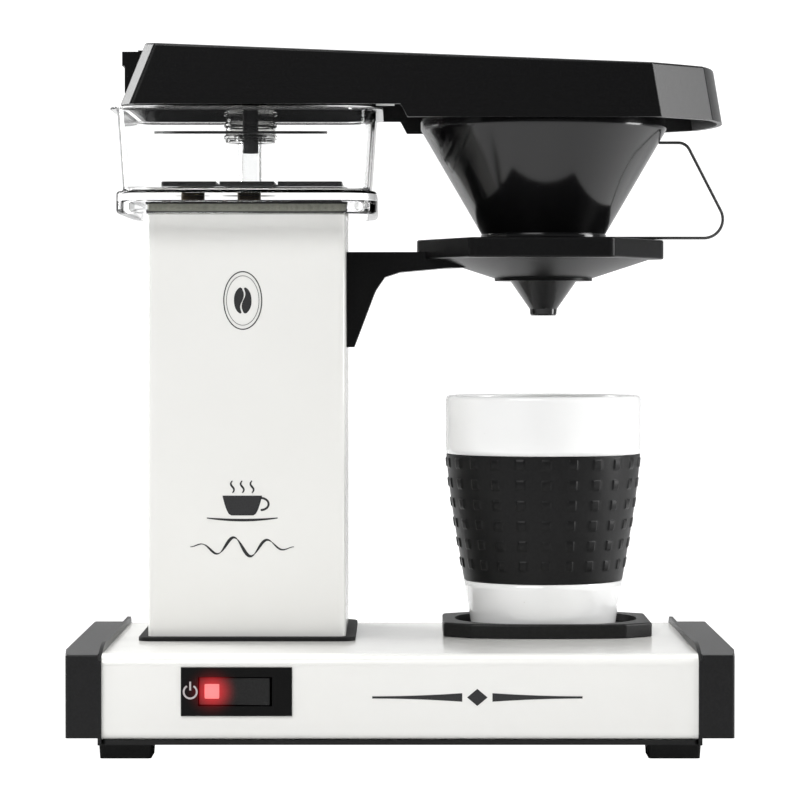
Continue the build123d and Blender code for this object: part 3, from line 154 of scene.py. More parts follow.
def paper_material():
    """Pale paper with the faintest mottle, lit from behind where the camera looks at it straight, and in its
    middle part where it looks through the clear pieces, so that it is white there and still stays dim in the
    reflections of the black ones."""
    material, tree, shader = new_material("studio_paper")
    point = object_point(tree)
    mottle = add(tree, "ShaderNodeTexNoise", {"Vector": point, "Scale": 3.0, "Detail": 4.0})
    tree.links.new(ramp(tree, mottle.outputs["Fac"], [(0.3, grey(0.72)), (0.7, grey(0.75))]),
                   shader.inputs["Base Color"])
    shader.inputs["Roughness"].default_value = 0.9
    path = add(tree, "ShaderNodeLightPath")
    across = add(tree, "ShaderNodeSeparateXYZ", {"Vector": point}).outputs["X"]
    aside = add(tree, "ShaderNodeMath", {0: across}, operation="ABSOLUTE")
    middle_part = add(tree, "ShaderNodeMapRange", {"Value": aside.outputs[0],
                                                   "From Min": LIT_HALF_WIDTH + LIT_FADE,
                                                   "From Max": LIT_HALF_WIDTH})
    through = add(tree, "ShaderNodeMath", {0: path.outputs["Is Transmission Ray"], 1: middle_part.outputs[0]},
                  operation="MULTIPLY")
    share = add(tree, "ShaderNodeMath", {0: path.outputs["Is Camera Ray"], 1: through.outputs[0]},
                operation="MAXIMUM")
    glow = add(tree, "ShaderNodeEmission", {"Color": grey(1.0), "Strength": PAPER_GLOW})
    mixed = add(tree, "ShaderNodeMixShader", {0: share.outputs[0], 1: shader.outputs[0], 2: glow.outputs[0]})
    tree.links.new(mixed.outputs[0], tree.nodes["Material Output"].inputs["Surface"])
    return material


def soft_box(name, place, size, power, aim):
    """A rectangular light at place, facing aim."""
    light = bpy.data.lights.new(name, "AREA")
    light.shape = "RECTANGLE"
    light.size, light.size_y = size
    light.energy = power
    lamp = bpy.data.objects.new(name, light)
    bpy.context.scene.collection.objects.link(lamp)
    lamp.location = place
    direction = [a - p for a, p in zip(aim, place)]
    lamp.rotation_euler = Vector(direction).to_track_quat("-Z", "Y").to_euler()


floor = studio_floor()
floor.data.materials.append(paper_material())

base_low, base_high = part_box("base_shell")
front_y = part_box("end_cap_left")[0].y
centre_x = (base_low.x + base_high.x) / 2
middle = (centre_x, 0.0, 0.15)

soft_box("box_left", place=(-1.0, 0.6, 0.65), size=(0.45, 1.0), power=12.0, aim=middle)
soft_box("box_right", place=(1.05, 0.0, 0.45), size=(0.34, 1.1), power=11.5, aim=middle)
soft_box("box_top", place=(0.0, 0.2, 1.6), size=(1.4, 0.9), power=18.5, aim=middle)
soft_box("box_front", place=(-0.8, -1.7, 1.7), size=(1.5, 1.0), power=39.5, aim=middle)

world = bpy.data.worlds.new("studio_air")
world.use_nodes = True
sky = world.node_tree.nodes["Background"]
sky.inputs["Color"].default_value = (0.5, 0.51, 0.52, 1.0)
sky.inputs["Strength"].default_value = 0.35
bpy.context.scene.world = world

lens = bpy.data.cameras.new("front_camera")
lens.sensor_width = SENSOR
lens.lens = CAMERA_LENS
camera = bpy.data.objects.new("front_camera", lens)
bpy.context.scene.collection.objects.link(camera)
camera.location = (centre_x, front_y - CAMERA_DISTANCE, CAMERA_HEIGHT)
camera.rotation_euler = (math.pi / 2 - CAMERA_PITCH, 0.0, 0.0)
bpy.context.scene.camera = camera
bpy.context.scene.view_settings.view_transform = "Standard"


# ---- Bottom plate, feet and cable bush --------------------------------------------
# The feet are moulded rubber pads, glued under the corners of a flat black plate that six screws hold to the
# base. The bush is the same rubber, snapped into the back wall.
def noise_group():
    """Noise at a real size in metres: Mask is the noise itself and Fine is a second, finer layer of it."""
    group = bpy.data.node_groups.new("mould_grain", "ShaderNodeTree")
    group.interface.new_socket("Size", in_out="INPUT", socket_type="NodeSocketFloat")
    group.interface.new_socket("Mask", in_out="OUTPUT", socket_type="NodeSocketFloat")
    group.interface.new_socket("Fine", in_out="OUTPUT", socket_type="NodeSocketFloat")
    start = group.nodes.new("NodeGroupInput")
    end = group.nodes.new("NodeGroupOutput")
    count = add(group, "ShaderNodeMath", {0: 1.0, 1: start.outputs["Size"]}, operation="DIVIDE")
    point = object_point(group)
    broad = add(group, "ShaderNodeTexNoise", {"Vector": point, "Scale": count.outputs[0], "Detail": 3.0})
    finer = add(group, "ShaderNodeMath", {0: count.outputs[0], 1: 4.3}, operation="MULTIPLY")
    fine = add(group, "ShaderNodeTexNoise", {"Vector": point, "Scale": finer.outputs[0], "Detail": 2.0})
    group.links.new(broad.outputs["Fac"], end.inputs["Mask"])
    group.links.new(fine.outputs["Fac"], end.inputs["Fine"])
    return group


def wear_group():
    """Edge wear: how far a rounded normal leans away from the true one, broken up by noise."""
    group = bpy.data.node_groups.new("edge_wear", "ShaderNodeTree")
    group.interface.new_socket("Width", in_out="INPUT", socket_type="NodeSocketFloat")
    group.interface.new_socket("Breakup", in_out="INPUT", socket_type="NodeSocketFloat")
    group.interface.new_socket("Mask", in_out="OUTPUT", socket_type="NodeSocketFloat")
    start = group.nodes.new("NodeGroupInput")
    end = group.nodes.new("NodeGroupOutput")
    rounded = add(group, "ShaderNodeBevel", {"Radius": start.outputs["Width"]}, samples=3)
    true_normal = add(group, "ShaderNodeNewGeometry").outputs["Normal"]
    lean = add(group, "ShaderNodeVectorMath", {0: rounded.outputs["Normal"], 1: true_normal},
               operation="DOT_PRODUCT")
    edge = add(group, "ShaderNodeMapRange", {"Value": lean.outputs["Value"], "From Min": 0.995,
                                             "From Max": 0.85})
    count = add(group, "ShaderNodeMath", {0: 1.0, 1: start.outputs["Breakup"]}, operation="DIVIDE")
    patches = add(group, "ShaderNodeTexNoise", {"Vector": object_point(group), "Scale": count.outputs[0],
                                                "Detail": 5.0})
    sharp = add(group, "ShaderNodeMapRange", {"Value": patches.outputs["Fac"], "From Min": 0.42,
                                              "From Max": 0.68})
    worn = add(group, "ShaderNodeMath", {0: edge.outputs[0], 1: sharp.outputs[0]}, operation="MULTIPLY")
    group.links.new(worn.outputs[0], end.inputs["Mask"])
    return group


GRAIN = noise_group()
WEAR = wear_group()


def grouped(tree, group, **values):
    """One of the shared effects, placed in a material with its own values."""
    made = tree.nodes.new("ShaderNodeGroup")
    made.node_tree = group
    for key, value in values.items():
        made.inputs[key].default_value = value
    return made.outputs


def moulded_material(name, dark, light, rough, grain, bump, edge=0.35, specular=0.5, metal=0.0):
    """Moulded surface: two close colours mottled together, roughness that follows the grain, worn edges a
    little lighter, and a fine grain in relief. grain is the mottle's size and bump the relief, in metres."""
    material, tree, shader = new_material(name)
    grain_out = grouped(tree, GRAIN, Size=grain)
    colour = ramp(tree, grain_out["Mask"], [(0.3, dark), (0.72, light)])
    worn = grouped(tree, WEAR, Width=0.0005, Breakup=0.004)["Mask"]
    paler = tuple(min(1.0, c * 1.5 + 0.02) for c in light[:3]) + (1.0,)
    strength = add(tree, "ShaderNodeMath", {0: worn, 1: edge}, operation="MULTIPLY").outputs[0]
    mixed = add(tree, "ShaderNodeMix", {0: strength, 6: colour, 7: paler}, data_type="RGBA")
    tree.links.new(mixed.outputs[2], shader.inputs["Base Color"])
    roughness = add(tree, "ShaderNodeMapRange", {"Value": grain_out["Fine"], "From Min": 0.25,
                                                 "From Max": 0.75, "To Min": rough * 0.88,
                                                 "To Max": rough * 1.12})
    tree.links.new(roughness.outputs[0], shader.inputs["Roughness"])
    relief = add(tree, "ShaderNodeBump", {"Height": grain_out["Fine"], "Distance": bump, "Strength": 0.6})
    tree.links.new(relief.outputs["Normal"], shader.inputs["Normal"])
    shader.inputs["Specular IOR Level"].default_value = specular
    shader.inputs["Metallic"].default_value = metal
    return material


def finish_nodes(material, *names):
    """Gives CAD nodes a material on every one of their slots."""
    for name in names:
        mesh = node[name].data
        if not mesh.materials:
            mesh.materials.append(material)
        for index in range(len(mesh.materials)):
            mesh.materials[index] = material


rubber = moulded_material("foot_rubber", (0.003, 0.003, 0.003), (0.007, 0.007, 0.0066), 0.6, 0.0015,
                          0.00004, edge=0.15, specular=0.25)
plate_black = moulded_material("plate_black", (0.003, 0.003, 0.003), (0.006, 0.006, 0.006), 0.45, 0.002,
                               0.00002, edge=0.15, specular=0.3)
finish_nodes(rubber, "feet", "cord_gland")
finish_nodes(plate_black, "bottom_plate")


def metal_material(name, dark, light, rough, grain):
    """Bare metal with fine drawn lines along its height and a mottle from handling."""
    material, tree, shader = new_material(name)
    stretched = add(tree, "ShaderNodeMapping", {"Vector": object_point(tree), "Scale": (1.0, 1.0, 0.06)})
    lines = add(tree, "ShaderNodeTexNoise", {"Vector": stretched.outputs[0], "Scale": 1.0 / grain,
                                             "Detail": 3.0})
    mottle = grouped(tree, GRAIN, Size=0.006)["Mask"]
    colour = ramp(tree, mottle, [(0.3, dark), (0.7, light)])
    tree.links.new(colour, shader.inputs["Base Color"])
    roughness = add(tree, "ShaderNodeMapRange", {"Value": lines.outputs["Fac"], "From Min": 0.25,
                                                 "From Max": 0.75, "To Min": rough * 0.75,
                                                 "To Max": rough * 1.3})
    tree.links.new(roughness.outputs[0], shader.inputs["Roughness"])
    relief = add(tree, "ShaderNodeBump", {"Height": lines.outputs["Fac"], "Distance": 0.00002,
                                          "Strength": 0.5})
    tree.links.new(relief.outputs["Normal"], shader.inputs["Normal"])
    shader.inputs["Metallic"].default_value = 1.0
    return material


steel = metal_material("plain_steel", (0.38, 0.38, 0.38), (0.5, 0.5, 0.49), 0.32, 0.0006)
black_screw = metal_material("blackened_steel", (0.02, 0.02, 0.02), (0.035, 0.035, 0.035), 0.4, 0.0006)
finish_nodes(black_screw, "base_screws")


# ---- Base ------------------------------------------------------------------------
# One sheet of steel bent over the front, the top and the back, and painted off-white. The paint has a faint
# orange peel and gathers a little along the bends.
def enamel_material():
    """Thick glossy off-white paint: a faint drift of colour over a hand's breadth, orange peel about 2 mm
    across, and a clear top coat."""
    material, tree, shader = new_material("off_white_enamel")
    point = object_point(tree)
    drift = add(tree, "ShaderNodeTexNoise", {"Vector": point, "Scale": 9.0, "Detail": 2.0})
    colour = ramp(tree, drift.outputs["Fac"], [(0.1, (0.805, 0.80, 0.77)), (0.9, (0.835, 0.83, 0.805))])
    worn = grouped(tree, WEAR, Width=0.0004, Breakup=0.003)["Mask"]
    strength = add(tree, "ShaderNodeMath", {0: worn, 1: 0.25}, operation="MULTIPLY").outputs[0]
    mixed = add(tree, "ShaderNodeMix", {0: strength, 6: colour, 7: (0.62, 0.6, 0.56, 1.0)}, data_type="RGBA")
    tree.links.new(mixed.outputs[2], shader.inputs["Base Color"])
    peel = add(tree, "ShaderNodeTexNoise", {"Vector": point, "Scale": 480.0, "Detail": 1.0})
    dust = grouped(tree, GRAIN, Size=0.0006)
    smudge = add(tree, "ShaderNodeTexNoise", {"Vector": point, "Scale": 28.0, "Detail": 4.0})
    roughness = add(tree, "ShaderNodeMapRange", {"Value": smudge.outputs["Fac"], "From Min": 0.1,
                                                 "From Max": 0.9, "To Min": 0.2, "To Max": 0.27})
    tree.links.new(roughness.outputs[0], shader.inputs["Roughness"])
    fine = add(tree, "ShaderNodeBump", {"Height": dust["Fine"], "Distance": 0.000008, "Strength": 0.4})
    relief = add(tree, "ShaderNodeBump", {"Height": peel.outputs["Fac"], "Distance": 0.00002,
                                          "Strength": 0.35, "Normal": fine.outputs["Normal"]})
    tree.links.new(relief.outputs["Normal"], shader.inputs["Normal"])
    shader.inputs["Coat Weight"].default_value = 0.35
    shader.inputs["Coat Roughness"].default_value = 0.08
    return material


enamel = enamel_material()
finish_nodes(enamel, "base_shell")


# ---- End caps and end walls --------------------------------------------------------
# Black injection mouldings with a satin spark finish, pushed over the ends of the base. The thin walls beside
# them stand a little proud of the base's top. The ceramic block for the wires sits between them, inside.
satin_black = moulded_material("satin_black", (0.005, 0.005, 0.0053), (0.0095, 0.0095, 0.01), 0.36, 0.0009,
                               0.000022, edge=0.3, specular=0.22)
finish_nodes(satin_black, "end_cap_left", "end_cap_right", "side_plate_left", "side_plate_right")
ceramic = moulded_material("block_ceramic", (0.66, 0.65, 0.61), (0.78, 0.77, 0.73), 0.5, 0.003, 0.00003)
finish_nodes(ceramic, "terminal_block")


# ---- Switch ----------------------------------------------------------------------
# A black frame pressed into the front wall with a rocker in its well. The lamp behind the rocker's red window
# shows that it is on, and lights the plastic round it.
def glow_material(name, base, centre, reach, glow, colour, rough):
    """Black plastic with light that falls off with distance from a lamp at centre."""
    material, tree, shader = new_material(name)
    point = object_point(tree)
    grain_out = grouped(tree, GRAIN, Size=0.0007)
    dark = tuple(c * 0.7 for c in base) + (1.0,)
    tree.links.new(ramp(tree, grain_out["Mask"], [(0.3, dark), (0.7, (*base, 1.0))]),
                   shader.inputs["Base Color"])
    away = add(tree, "ShaderNodeVectorMath", {0: point, 1: centre}, operation="DISTANCE").outputs["Value"]
    near = add(tree, "ShaderNodeMapRange", {"Value": away, "From Min": reach, "From Max": 0.0},
               interpolation_type="SMOOTHERSTEP")
    falloff = add(tree, "ShaderNodeMath", {0: near.outputs[0], 1: 1.6}, operation="POWER").outputs[0]
    light = add(tree, "ShaderNodeMix", {0: falloff, 6: (0.0, 0.0, 0.0, 1.0), 7: colour}, data_type="RGBA")
    tree.links.new(light.outputs[2], shader.inputs["Emission Color"])
    shader.inputs["Emission Strength"].default_value = glow
    shader.inputs["Specular IOR Level"].default_value = 0.12
    roughness = add(tree, "ShaderNodeMapRange", {"Value": grain_out["Fine"], "To Min": rough * 0.85,
                                                 "To Max": rough * 1.15})
    tree.links.new(roughness.outputs[0], shader.inputs["Roughness"])
    relief = add(tree, "ShaderNodeBump", {"Height": grain_out["Fine"], "Distance": 0.000015,
                                          "Strength": 0.5})
    tree.links.new(relief.outputs["Normal"], shader.inputs["Normal"])
    return material


lens_low, lens_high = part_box("switch_lens")
lamp_at = tuple((lens_low + lens_high) / 2)
lit_frame = glow_material("lit_frame", (0.0025, 0.0025, 0.0025), lamp_at, reach=0.014, glow=0.16,
                          colour=(1.0, 0.02, 0.03, 1.0), rough=0.4)
lit_rocker = glow_material("lit_rocker", (0.02, 0.02, 0.02), lamp_at, reach=0.013, glow=0.62,
                           colour=(1.0, 0.03, 0.04, 1.0), rough=0.42)
red_window = glow_material("red_window", (0.5, 0.03, 0.03), lamp_at, reach=0.016, glow=0.95,
                           colour=(1.0, 0.3, 0.3, 1.0), rough=0.25)
finish_nodes(lit_frame, "switch_bezel")
finish_nodes(lit_rocker, "switch_rocker")
finish_nodes(red_window, "switch_lens")
finish_nodes(plate_black, "switch_housing")


PRINT_THICKNESS = 0.00012


def printed_line(name, across, up, width, plane_y, closed=False):
    """A flat line of print on a wall that faces the front: a ribbon along (across, up), its half width laid off
    square to its direction, given a little thickness. It stands just proud of the wall at plane_y."""
    path = np.stack([np.asarray(across, float), np.asarray(up, float)], 1)
    if closed:
        ahead = np.roll(path, -1, 0) - np.roll(path, 1, 0)
    else:
        ahead = np.gradient(path, axis=0)
    ahead /= np.linalg.norm(ahead, axis=1, keepdims=True)
    half = np.broadcast_to(np.asarray(width, float) / 2, (len(path),))[:, None]
    side = np.stack([-ahead[:, 1], ahead[:, 0]], 1) * half
    corners = [(path + side, 0.0), (path - side, 0.0),
               (path - side, PRINT_THICKNESS), (path + side, PRINT_THICKNESS)]
    rings = [np.stack([edge[:, 0], np.full(len(path), plane_y - out), edge[:, 1]], 1)
             for edge, out in corners]
    points = np.stack(rings, 1)
    piece = grid_mesh(name, points, along=closed, poles=(not closed, not closed))
    piece.data.polygons.foreach_set("use_smooth", np.zeros(len(piece.data.polygons), bool))
    return piece


def joined(name, parts):
    """Several meshes made one piece."""
    with bpy.context.temp_override(active_object=parts[0], selected_editable_objects=parts):
        bpy.ops.object.join()
    parts[0].name = name
    return parts[0]


def ink_material(name, dark, light):
    """Screen-printed ink: a nearly even colour and a gloss that varies with a fine grain."""
    material, tree, shader = new_material(name)
    grain_out = grouped(tree, GRAIN, Size=0.0005)
    colour = ramp(tree, grain_out["Mask"], [(0.3, dark), (0.7, light)])
    tree.links.new(colour, shader.inputs["Base Color"])
    roughness = add(tree, "ShaderNodeMapRange", {"Value": grain_out["Fine"], "To Min": 0.35, "To Max": 0.55})
    tree.links.new(roughness.outputs[0], shader.inputs["Roughness"])
    return material


bezel_low, bezel_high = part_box("switch_bezel")
POWER_RADIUS = 0.0027
POWER_LINE = 0.00075
POWER_INSET = 0.0039
POWER_GAP = math.radians(60)
STEM_LOW = 0.0006
STEM_HIGH = 0.0042
power_x = bezel_low.x + POWER_INSET
power_z = (bezel_low.z + bezel_high.z) / 2
sweep = np.linspace(math.pi / 2 + POWER_GAP / 2, 5 * math.pi / 2 - POWER_GAP / 2, 40)
power_ring = printed_line("power_ring", power_x + POWER_RADIUS * np.cos(sweep),
                          power_z + POWER_RADIUS * np.sin(sweep), POWER_LINE, bezel_low.y)
power_stem = printed_line("power_stem", [power_x, power_x], [power_z + STEM_LOW, power_z + STEM_HIGH],
                          POWER_LINE, bezel_low.y)
power_mark = joined("power_mark", [power_ring, power_stem])
power_mark.data.materials.append(ink_material("pale_ink", (0.42, 0.38, 0.38), (0.52, 0.48, 0.48)))
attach(power_mark, "base")


# ---- Mark on the base --------------------------------------------------------------
# A plain printed rule with a lozenge in its middle, in dark ink on the front of the base.
MARK_SHIFT = 0.0318
MARK_LENGTH = 0.0865
MARK_HEIGHT = 0.0069
RULE_THIN = 0.0009
RULE_SWELL = 0.0026
RULE_STEPS = 24
STONE_STEPS = 9
dark_ink = ink_material("dark_ink", (0.008, 0.008, 0.009), (0.016, 0.016, 0.017))


def lozenge_rule(name, x, z, length, height, plane_y):
    """Two lines that swell towards a diamond between them, whose width falls evenly from its middle."""
    parts = []
    start = height * 0.9
    for side in (-1, 1):
        run = np.linspace(0.0, 1.0, RULE_STEPS)
        across = x + side * (start + run * (length / 2 - start))
        width = RULE_THIN + RULE_SWELL * (1 - run) ** 2
        parts.append(printed_line(f"{name}_{side + 1}", across, np.full(RULE_STEPS, z), width, plane_y))
    rise = np.linspace(-1.0, 1.0, STONE_STEPS)
    parts.append(printed_line(f"{name}_stone", x + rise * height * 0.6, np.full(STONE_STEPS, z),
                              height * (1.02 - np.abs(rise)), plane_y))
    return joined(name, parts)


base_mark = lozenge_rule("base_mark", centre_x + MARK_SHIFT, (base_low.z + base_high.z) / 2, MARK_LENGTH,
                         MARK_HEIGHT, base_low.y)
base_mark.data.materials.append(dark_ink)
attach(base_mark, "base")


# ---- Tower ------------------------------------------------------------------------
# A square tube folded from one sheet and painted like the base. It stands on a rubber frame, and screws pull
# it down by a steel tray in its foot.
finish_nodes(enamel, "tower_shell")
finish_nodes(rubber, "tower_gasket", "tank_seal")
finish_nodes(steel, "tower_frame", "tower_screws", "holder_screws")
tower_low, tower_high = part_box("tower_shell")
tower_x = (tower_low.x + tower_high.x) / 2
tower_y = (tower_low.y + tower_high.y) / 2


# ---- Marks on the tower -------------------------------------------------------------
# An oval seal with a coffee bean, a steaming cup on a saucer, and a wisp are printed on the tower's front, in
# the same ink as the mark on the base.
SEAL_HALF_WIDTH = 0.0083
SEAL_HALF_HEIGHT = 0.0126
SEAL_SHIFT = -0.0016
SEAL_DROP = 0.0369
BEAN_HALF_WIDTH = 0.0038
BEAN_HALF_HEIGHT = 0.0056
BEAN_CURVE = 0.0008
BEAN_GAP = 0.0003
THIN_EDGE = 0.00012
seal_x = tower_x + SEAL_SHIFT
seal_z = tower_high.z - SEAL_DROP
turn = np.linspace(0.0, 2 * math.pi, 72, endpoint=False)


def oval(name, scale, width):
    """A line round an ellipse of the seal's shape."""
    return printed_line(name, seal_x + scale * SEAL_HALF_WIDTH * np.cos(turn),
                        seal_z + scale * SEAL_HALF_HEIGHT * np.sin(turn), width, tower_low.y, closed=True)


def half_bean(name, side):
    """One half of a bean: as wide as the ellipse's chord on its side of a gently curved parting line."""
    up = np.linspace(-0.96, 0.96, 25)
    outer = side * BEAN_HALF_WIDTH * np.sqrt(1 - up ** 2)
    inner = BEAN_CURVE * np.sin(up * math.pi) + side * BEAN_GAP
    return printed_line(name, seal_x + (outer + inner) / 2, seal_z + up * BEAN_HALF_HEIGHT,
                        np.maximum(np.abs(outer - inner), THIN_EDGE), tower_low.y)


seal_parts = [oval("seal_outer", 0.98, 0.00045), oval("seal_inner", 0.84, 0.00022),
              half_bean("seal_bean_left", -1), half_bean("seal_bean_right", 1)]
CUP_HALF = 0.0085
CUP_DEPTH = 0.0085
CUP_FOOT = -0.0055
CUP_SHIFT = -0.0019
CUP_HEIGHT = 0.0575
EAR_WIDTH = 0.0034
EAR_HEIGHT = 0.0026
EAR_LINE = 0.0009
SAUCER_HALF = 0.0152
SAUCER_DROP = 0.0075
SAUCER_CURVE = 0.0009
SAUCER_THICK = 0.0011
SAUCER_TAPER = 0.0007
STEAM_SPREAD = 0.0042
STEAM_FOOT = 0.0042
STEAM_HEIGHT = 0.0052
STEAM_SWAY = 0.0007
cup_x = tower_x + CUP_SHIFT
cup_z = tower_low.z + CUP_HEIGHT
bowl_up = np.linspace(0.0, 1.0, 16)
bowl = printed_line("cup_bowl", np.full(16, cup_x), cup_z + CUP_FOOT + bowl_up * CUP_DEPTH,
                    2 * CUP_HALF * (0.55 + 0.45 * np.sqrt(bowl_up)), tower_low.y)
ear_turn = np.linspace(-math.pi / 2, math.pi / 2, 20)
ear = printed_line("cup_ear", cup_x + CUP_HALF * 0.93 + EAR_WIDTH * np.cos(ear_turn),
                   cup_z - 0.0006 + EAR_HEIGHT * np.sin(ear_turn), EAR_LINE, tower_low.y)
saucer_run = np.linspace(-1.0, 1.0, 24)
saucer = printed_line("cup_saucer", cup_x + saucer_run * SAUCER_HALF,
                      cup_z - SAUCER_DROP + SAUCER_CURVE * saucer_run ** 2,
                      SAUCER_THICK - SAUCER_TAPER * saucer_run ** 2, tower_low.y)
steam = []
steam_rise = np.linspace(0.0, 1.0, 24)
for index, offset in enumerate((-STEAM_SPREAD, 0.0, STEAM_SPREAD)):
    steam.append(printed_line(f"cup_steam_{index}",
                              cup_x + offset + STEAM_SWAY * np.sin(steam_rise * 2 * math.pi),
                              cup_z + STEAM_FOOT + steam_rise * STEAM_HEIGHT,
                              0.00045 + 0.0004 * np.sin(steam_rise * math.pi), tower_low.y))
WISP_START = -0.0242
WISP_LENGTH = 0.0445
WISP_HEIGHT = 0.0385
WISP_SWING = 0.0042
WISP_WAVES = 3
wisp_run = np.linspace(0.0, 1.0, 90)
wisp_phase = wisp_run * WISP_WAVES * 2 * math.pi
wisp_fade = np.sin(wisp_run * math.pi)
wisp = printed_line("wisp", tower_x + WISP_START + wisp_run * WISP_LENGTH,
                    tower_low.z + WISP_HEIGHT + WISP_SWING * np.sin(wisp_phase) * wisp_fade,
                    0.0003 + 0.0011 * np.abs(np.sin(wisp_phase + 0.9)) * wisp_fade, tower_low.y)
tower_marks = joined("tower_marks", seal_parts + [bowl, ear, saucer, wisp] + steam)
tower_marks.data.materials.append(dark_ink)
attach(tower_marks, "base")


# ---- Tower cap, boiler and valve ---------------------------------------------------
# A grey coated casting closes the tower; the dim greenish grey of its colour is painted shade and reflection
# over the metal's own grey. Below it hang the copper boiler tube, its heating rod and clamps, and the valve
# and union of darkened brass that pass through it into the tank.
# The dim greenish grey here is painted shade and reflection laid over the cap's own grey.
cap_grey_painted_shade = moulded_material("grey_cap_painted_shade_and_reflection", (0.17, 0.17, 0.135), (0.24, 0.24, 0.2), 0.42, 0.0014, 0.00004,
                             metal=0.3)
copper = metal_material("drawn_copper", (0.62, 0.32, 0.2), (0.76, 0.44, 0.3), 0.28, 0.0008)
brass = metal_material("dark_brass", (0.05, 0.038, 0.022), (0.085, 0.066, 0.038), 0.32, 0.0005)
aluminium = metal_material("cast_aluminium", (0.52, 0.52, 0.53), (0.66, 0.66, 0.67), 0.4, 0.001)
finish_nodes(cap_grey_painted_shade, "tower_top_plate")
finish_nodes(copper, "boiler_tube")
finish_nodes(steel, "heating_element", "thermostats")
finish_nodes(aluminium, "boiler_clamps")
finish_nodes(brass, "check_valve", "riser_fitting", "outlet_nut")


# ---- Water tank -------------------------------------------------------------------
# Clear moulded plastic: a skirt that drops over the tower's cap, a floor, walls that flare a little, and a
# thin rim turned outwards. Its edges are rounded as in the mould.
def rounded_square(half, corner, steps=8):
    """Points round a square with corners of one radius: each corner is a quarter circle."""
    quarter = np.linspace(0.0, math.pi / 2, steps)
    points = []
    for index, (sx, sy) in enumerate(((1, 1), (-1, 1), (-1, -1), (1, -1))):
        angle = quarter + index * math.pi / 2
        reach = half - corner
        points.append(np.stack([sx * reach + corner * np.cos(angle),
                                sy * reach + corner * np.sin(angle)], 1))
    return np.concatenate(points)


def bent(corners, radii, steps=5, hold=0.00012):
    """A profile through the corners, each one rounded by an arc of its radius, with a point just before and
    just after each arc to keep the flats flat."""
    corners = np.asarray(corners, float)
    out = [corners[:1]]
    for before, here, after, radius in zip(corners, corners[1:], corners[2:], radii):
        u, v = before - here, after - here
        lu, lv = np.linalg.norm(u), np.linalg.norm(v)
        u, v = u / lu, v / lv
        half_angle = math.acos(np.clip(u @ v, -1, 1)) / 2
        reach = min(radius / math.tan(half_angle), 0.45 * lu, 0.45 * lv)
        radius = reach * math.tan(half_angle)
        centre = here + (u + v) / np.linalg.norm(u + v) * radius / math.sin(half_angle)
        start, end = here + u * reach - centre, here + v * reach - centre
        t = np.linspace(0.0, 1.0, steps)[:, None]
        chord = (1 - t) * start + t * end
        arc = centre + chord / np.linalg.norm(chord, axis=1, keepdims=True) * radius
        out += [arc[:1] + u * hold, arc, arc[-1:] + v * hold]
    return np.concatenate(out + [corners[-1:]])


tank_low, tank_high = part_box("water_tank")
deck_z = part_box("tank_seal")[1].z
tank_x = (tank_low.x + tank_high.x) / 2
tank_y = (tank_low.y + tank_high.y) / 2
RIM_HALF = (tank_high.x - tank_low.x) / 2
SKIRT_HALF = RIM_HALF - 0.0025
WALL_TOP_HALF = RIM_HALF - 0.003
WALL_LOW_HALF = SKIRT_HALF - 0.003
TANK_WALL = 0.0012
RIM_THICKNESS = 0.0009
SKIRT_WALL = 0.005
TANK_CORNER = 0.016
LEAST_CORNER = 0.0012
FLOOR_MIDDLE = 0.004
BAND_HEIGHT = 0.0099
FLOOR_THICKNESS = 0.003
band_top = tank_low.z + BAND_HEIGHT
floor_top = deck_z + FLOOR_THICKNESS
tank_profile = bent(
    [(FLOOR_MIDDLE, floor_top), (WALL_LOW_HALF - TANK_WALL, floor_top),
     (WALL_TOP_HALF - TANK_WALL, tank_high.z),
     (RIM_HALF, tank_high.z), (RIM_HALF, tank_high.z - RIM_THICKNESS),
     (WALL_TOP_HALF, tank_high.z - RIM_THICKNESS),
     (WALL_LOW_HALF, band_top), (SKIRT_HALF, band_top), (SKIRT_HALF, tank_low.z),
     (SKIRT_HALF - SKIRT_WALL, tank_low.z), (SKIRT_HALF - SKIRT_WALL, deck_z), (FLOOR_MIDDLE, deck_z)],
    [0.003, 0.0005, 0.0004, 0.0004, 0.0008, 0.0012, 0.003, 0.002, 0.0012, 0.001])


def tank_rings(profile):
    """A rounded square for each point of the profile, whose corner radius shrinks with it."""
    rings = []
    for half, z in profile:
        corner = max(LEAST_CORNER, TANK_CORNER + half - SKIRT_HALF)
        ring = rounded_square(half, min(corner, half * 0.9))
        rings.append(np.column_stack([ring[:, 0] + tank_x, ring[:, 1] + tank_y, np.full(len(ring), z)]))
    return np.stack(rings)


def clear_material(name, tint, ior, rough, relief_depth):
    """Clear moulding: refraction with a slight waviness of its surface, and faint dust in its roughness."""
    material, tree, shader = new_material(name)
    point = object_point(tree)
    dust = add(tree, "ShaderNodeTexNoise", {"Vector": point, "Scale": 60.0, "Detail": 4.0})
    cleaner = tuple(min(1.0, c * 1.02) for c in tint)
    tree.links.new(ramp(tree, dust.outputs["Fac"], [(0.35, tint), (0.75, cleaner)]),
                   shader.inputs["Base Color"])
    roughness = add(tree, "ShaderNodeMapRange", {"Value": dust.outputs["Fac"], "From Min": 0.4,
                                                 "From Max": 0.75, "To Min": rough, "To Max": rough * 2.0})
    tree.links.new(roughness.outputs[0], shader.inputs["Roughness"])
    wave = add(tree, "ShaderNodeTexNoise", {"Vector": point, "Scale": 45.0, "Detail": 1.0})
    relief = add(tree, "ShaderNodeBump", {"Height": wave.outputs["Fac"], "Distance": relief_depth,
                                          "Strength": 0.3})
    tree.links.new(relief.outputs["Normal"], shader.inputs["Normal"])
    shader.inputs["IOR"].default_value = ior
    shader.inputs["Transmission Weight"].default_value = 1.0
    return material


tank = grid_mesh("clear_tank", tank_rings(tank_profile[::-1]), poles=(True, True))
tank.data.materials.append(clear_material("clear_plastic", (0.985, 0.988, 0.987), 1.40, 0.01, 0.00001))
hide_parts("water_tank")
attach(tank, "base")


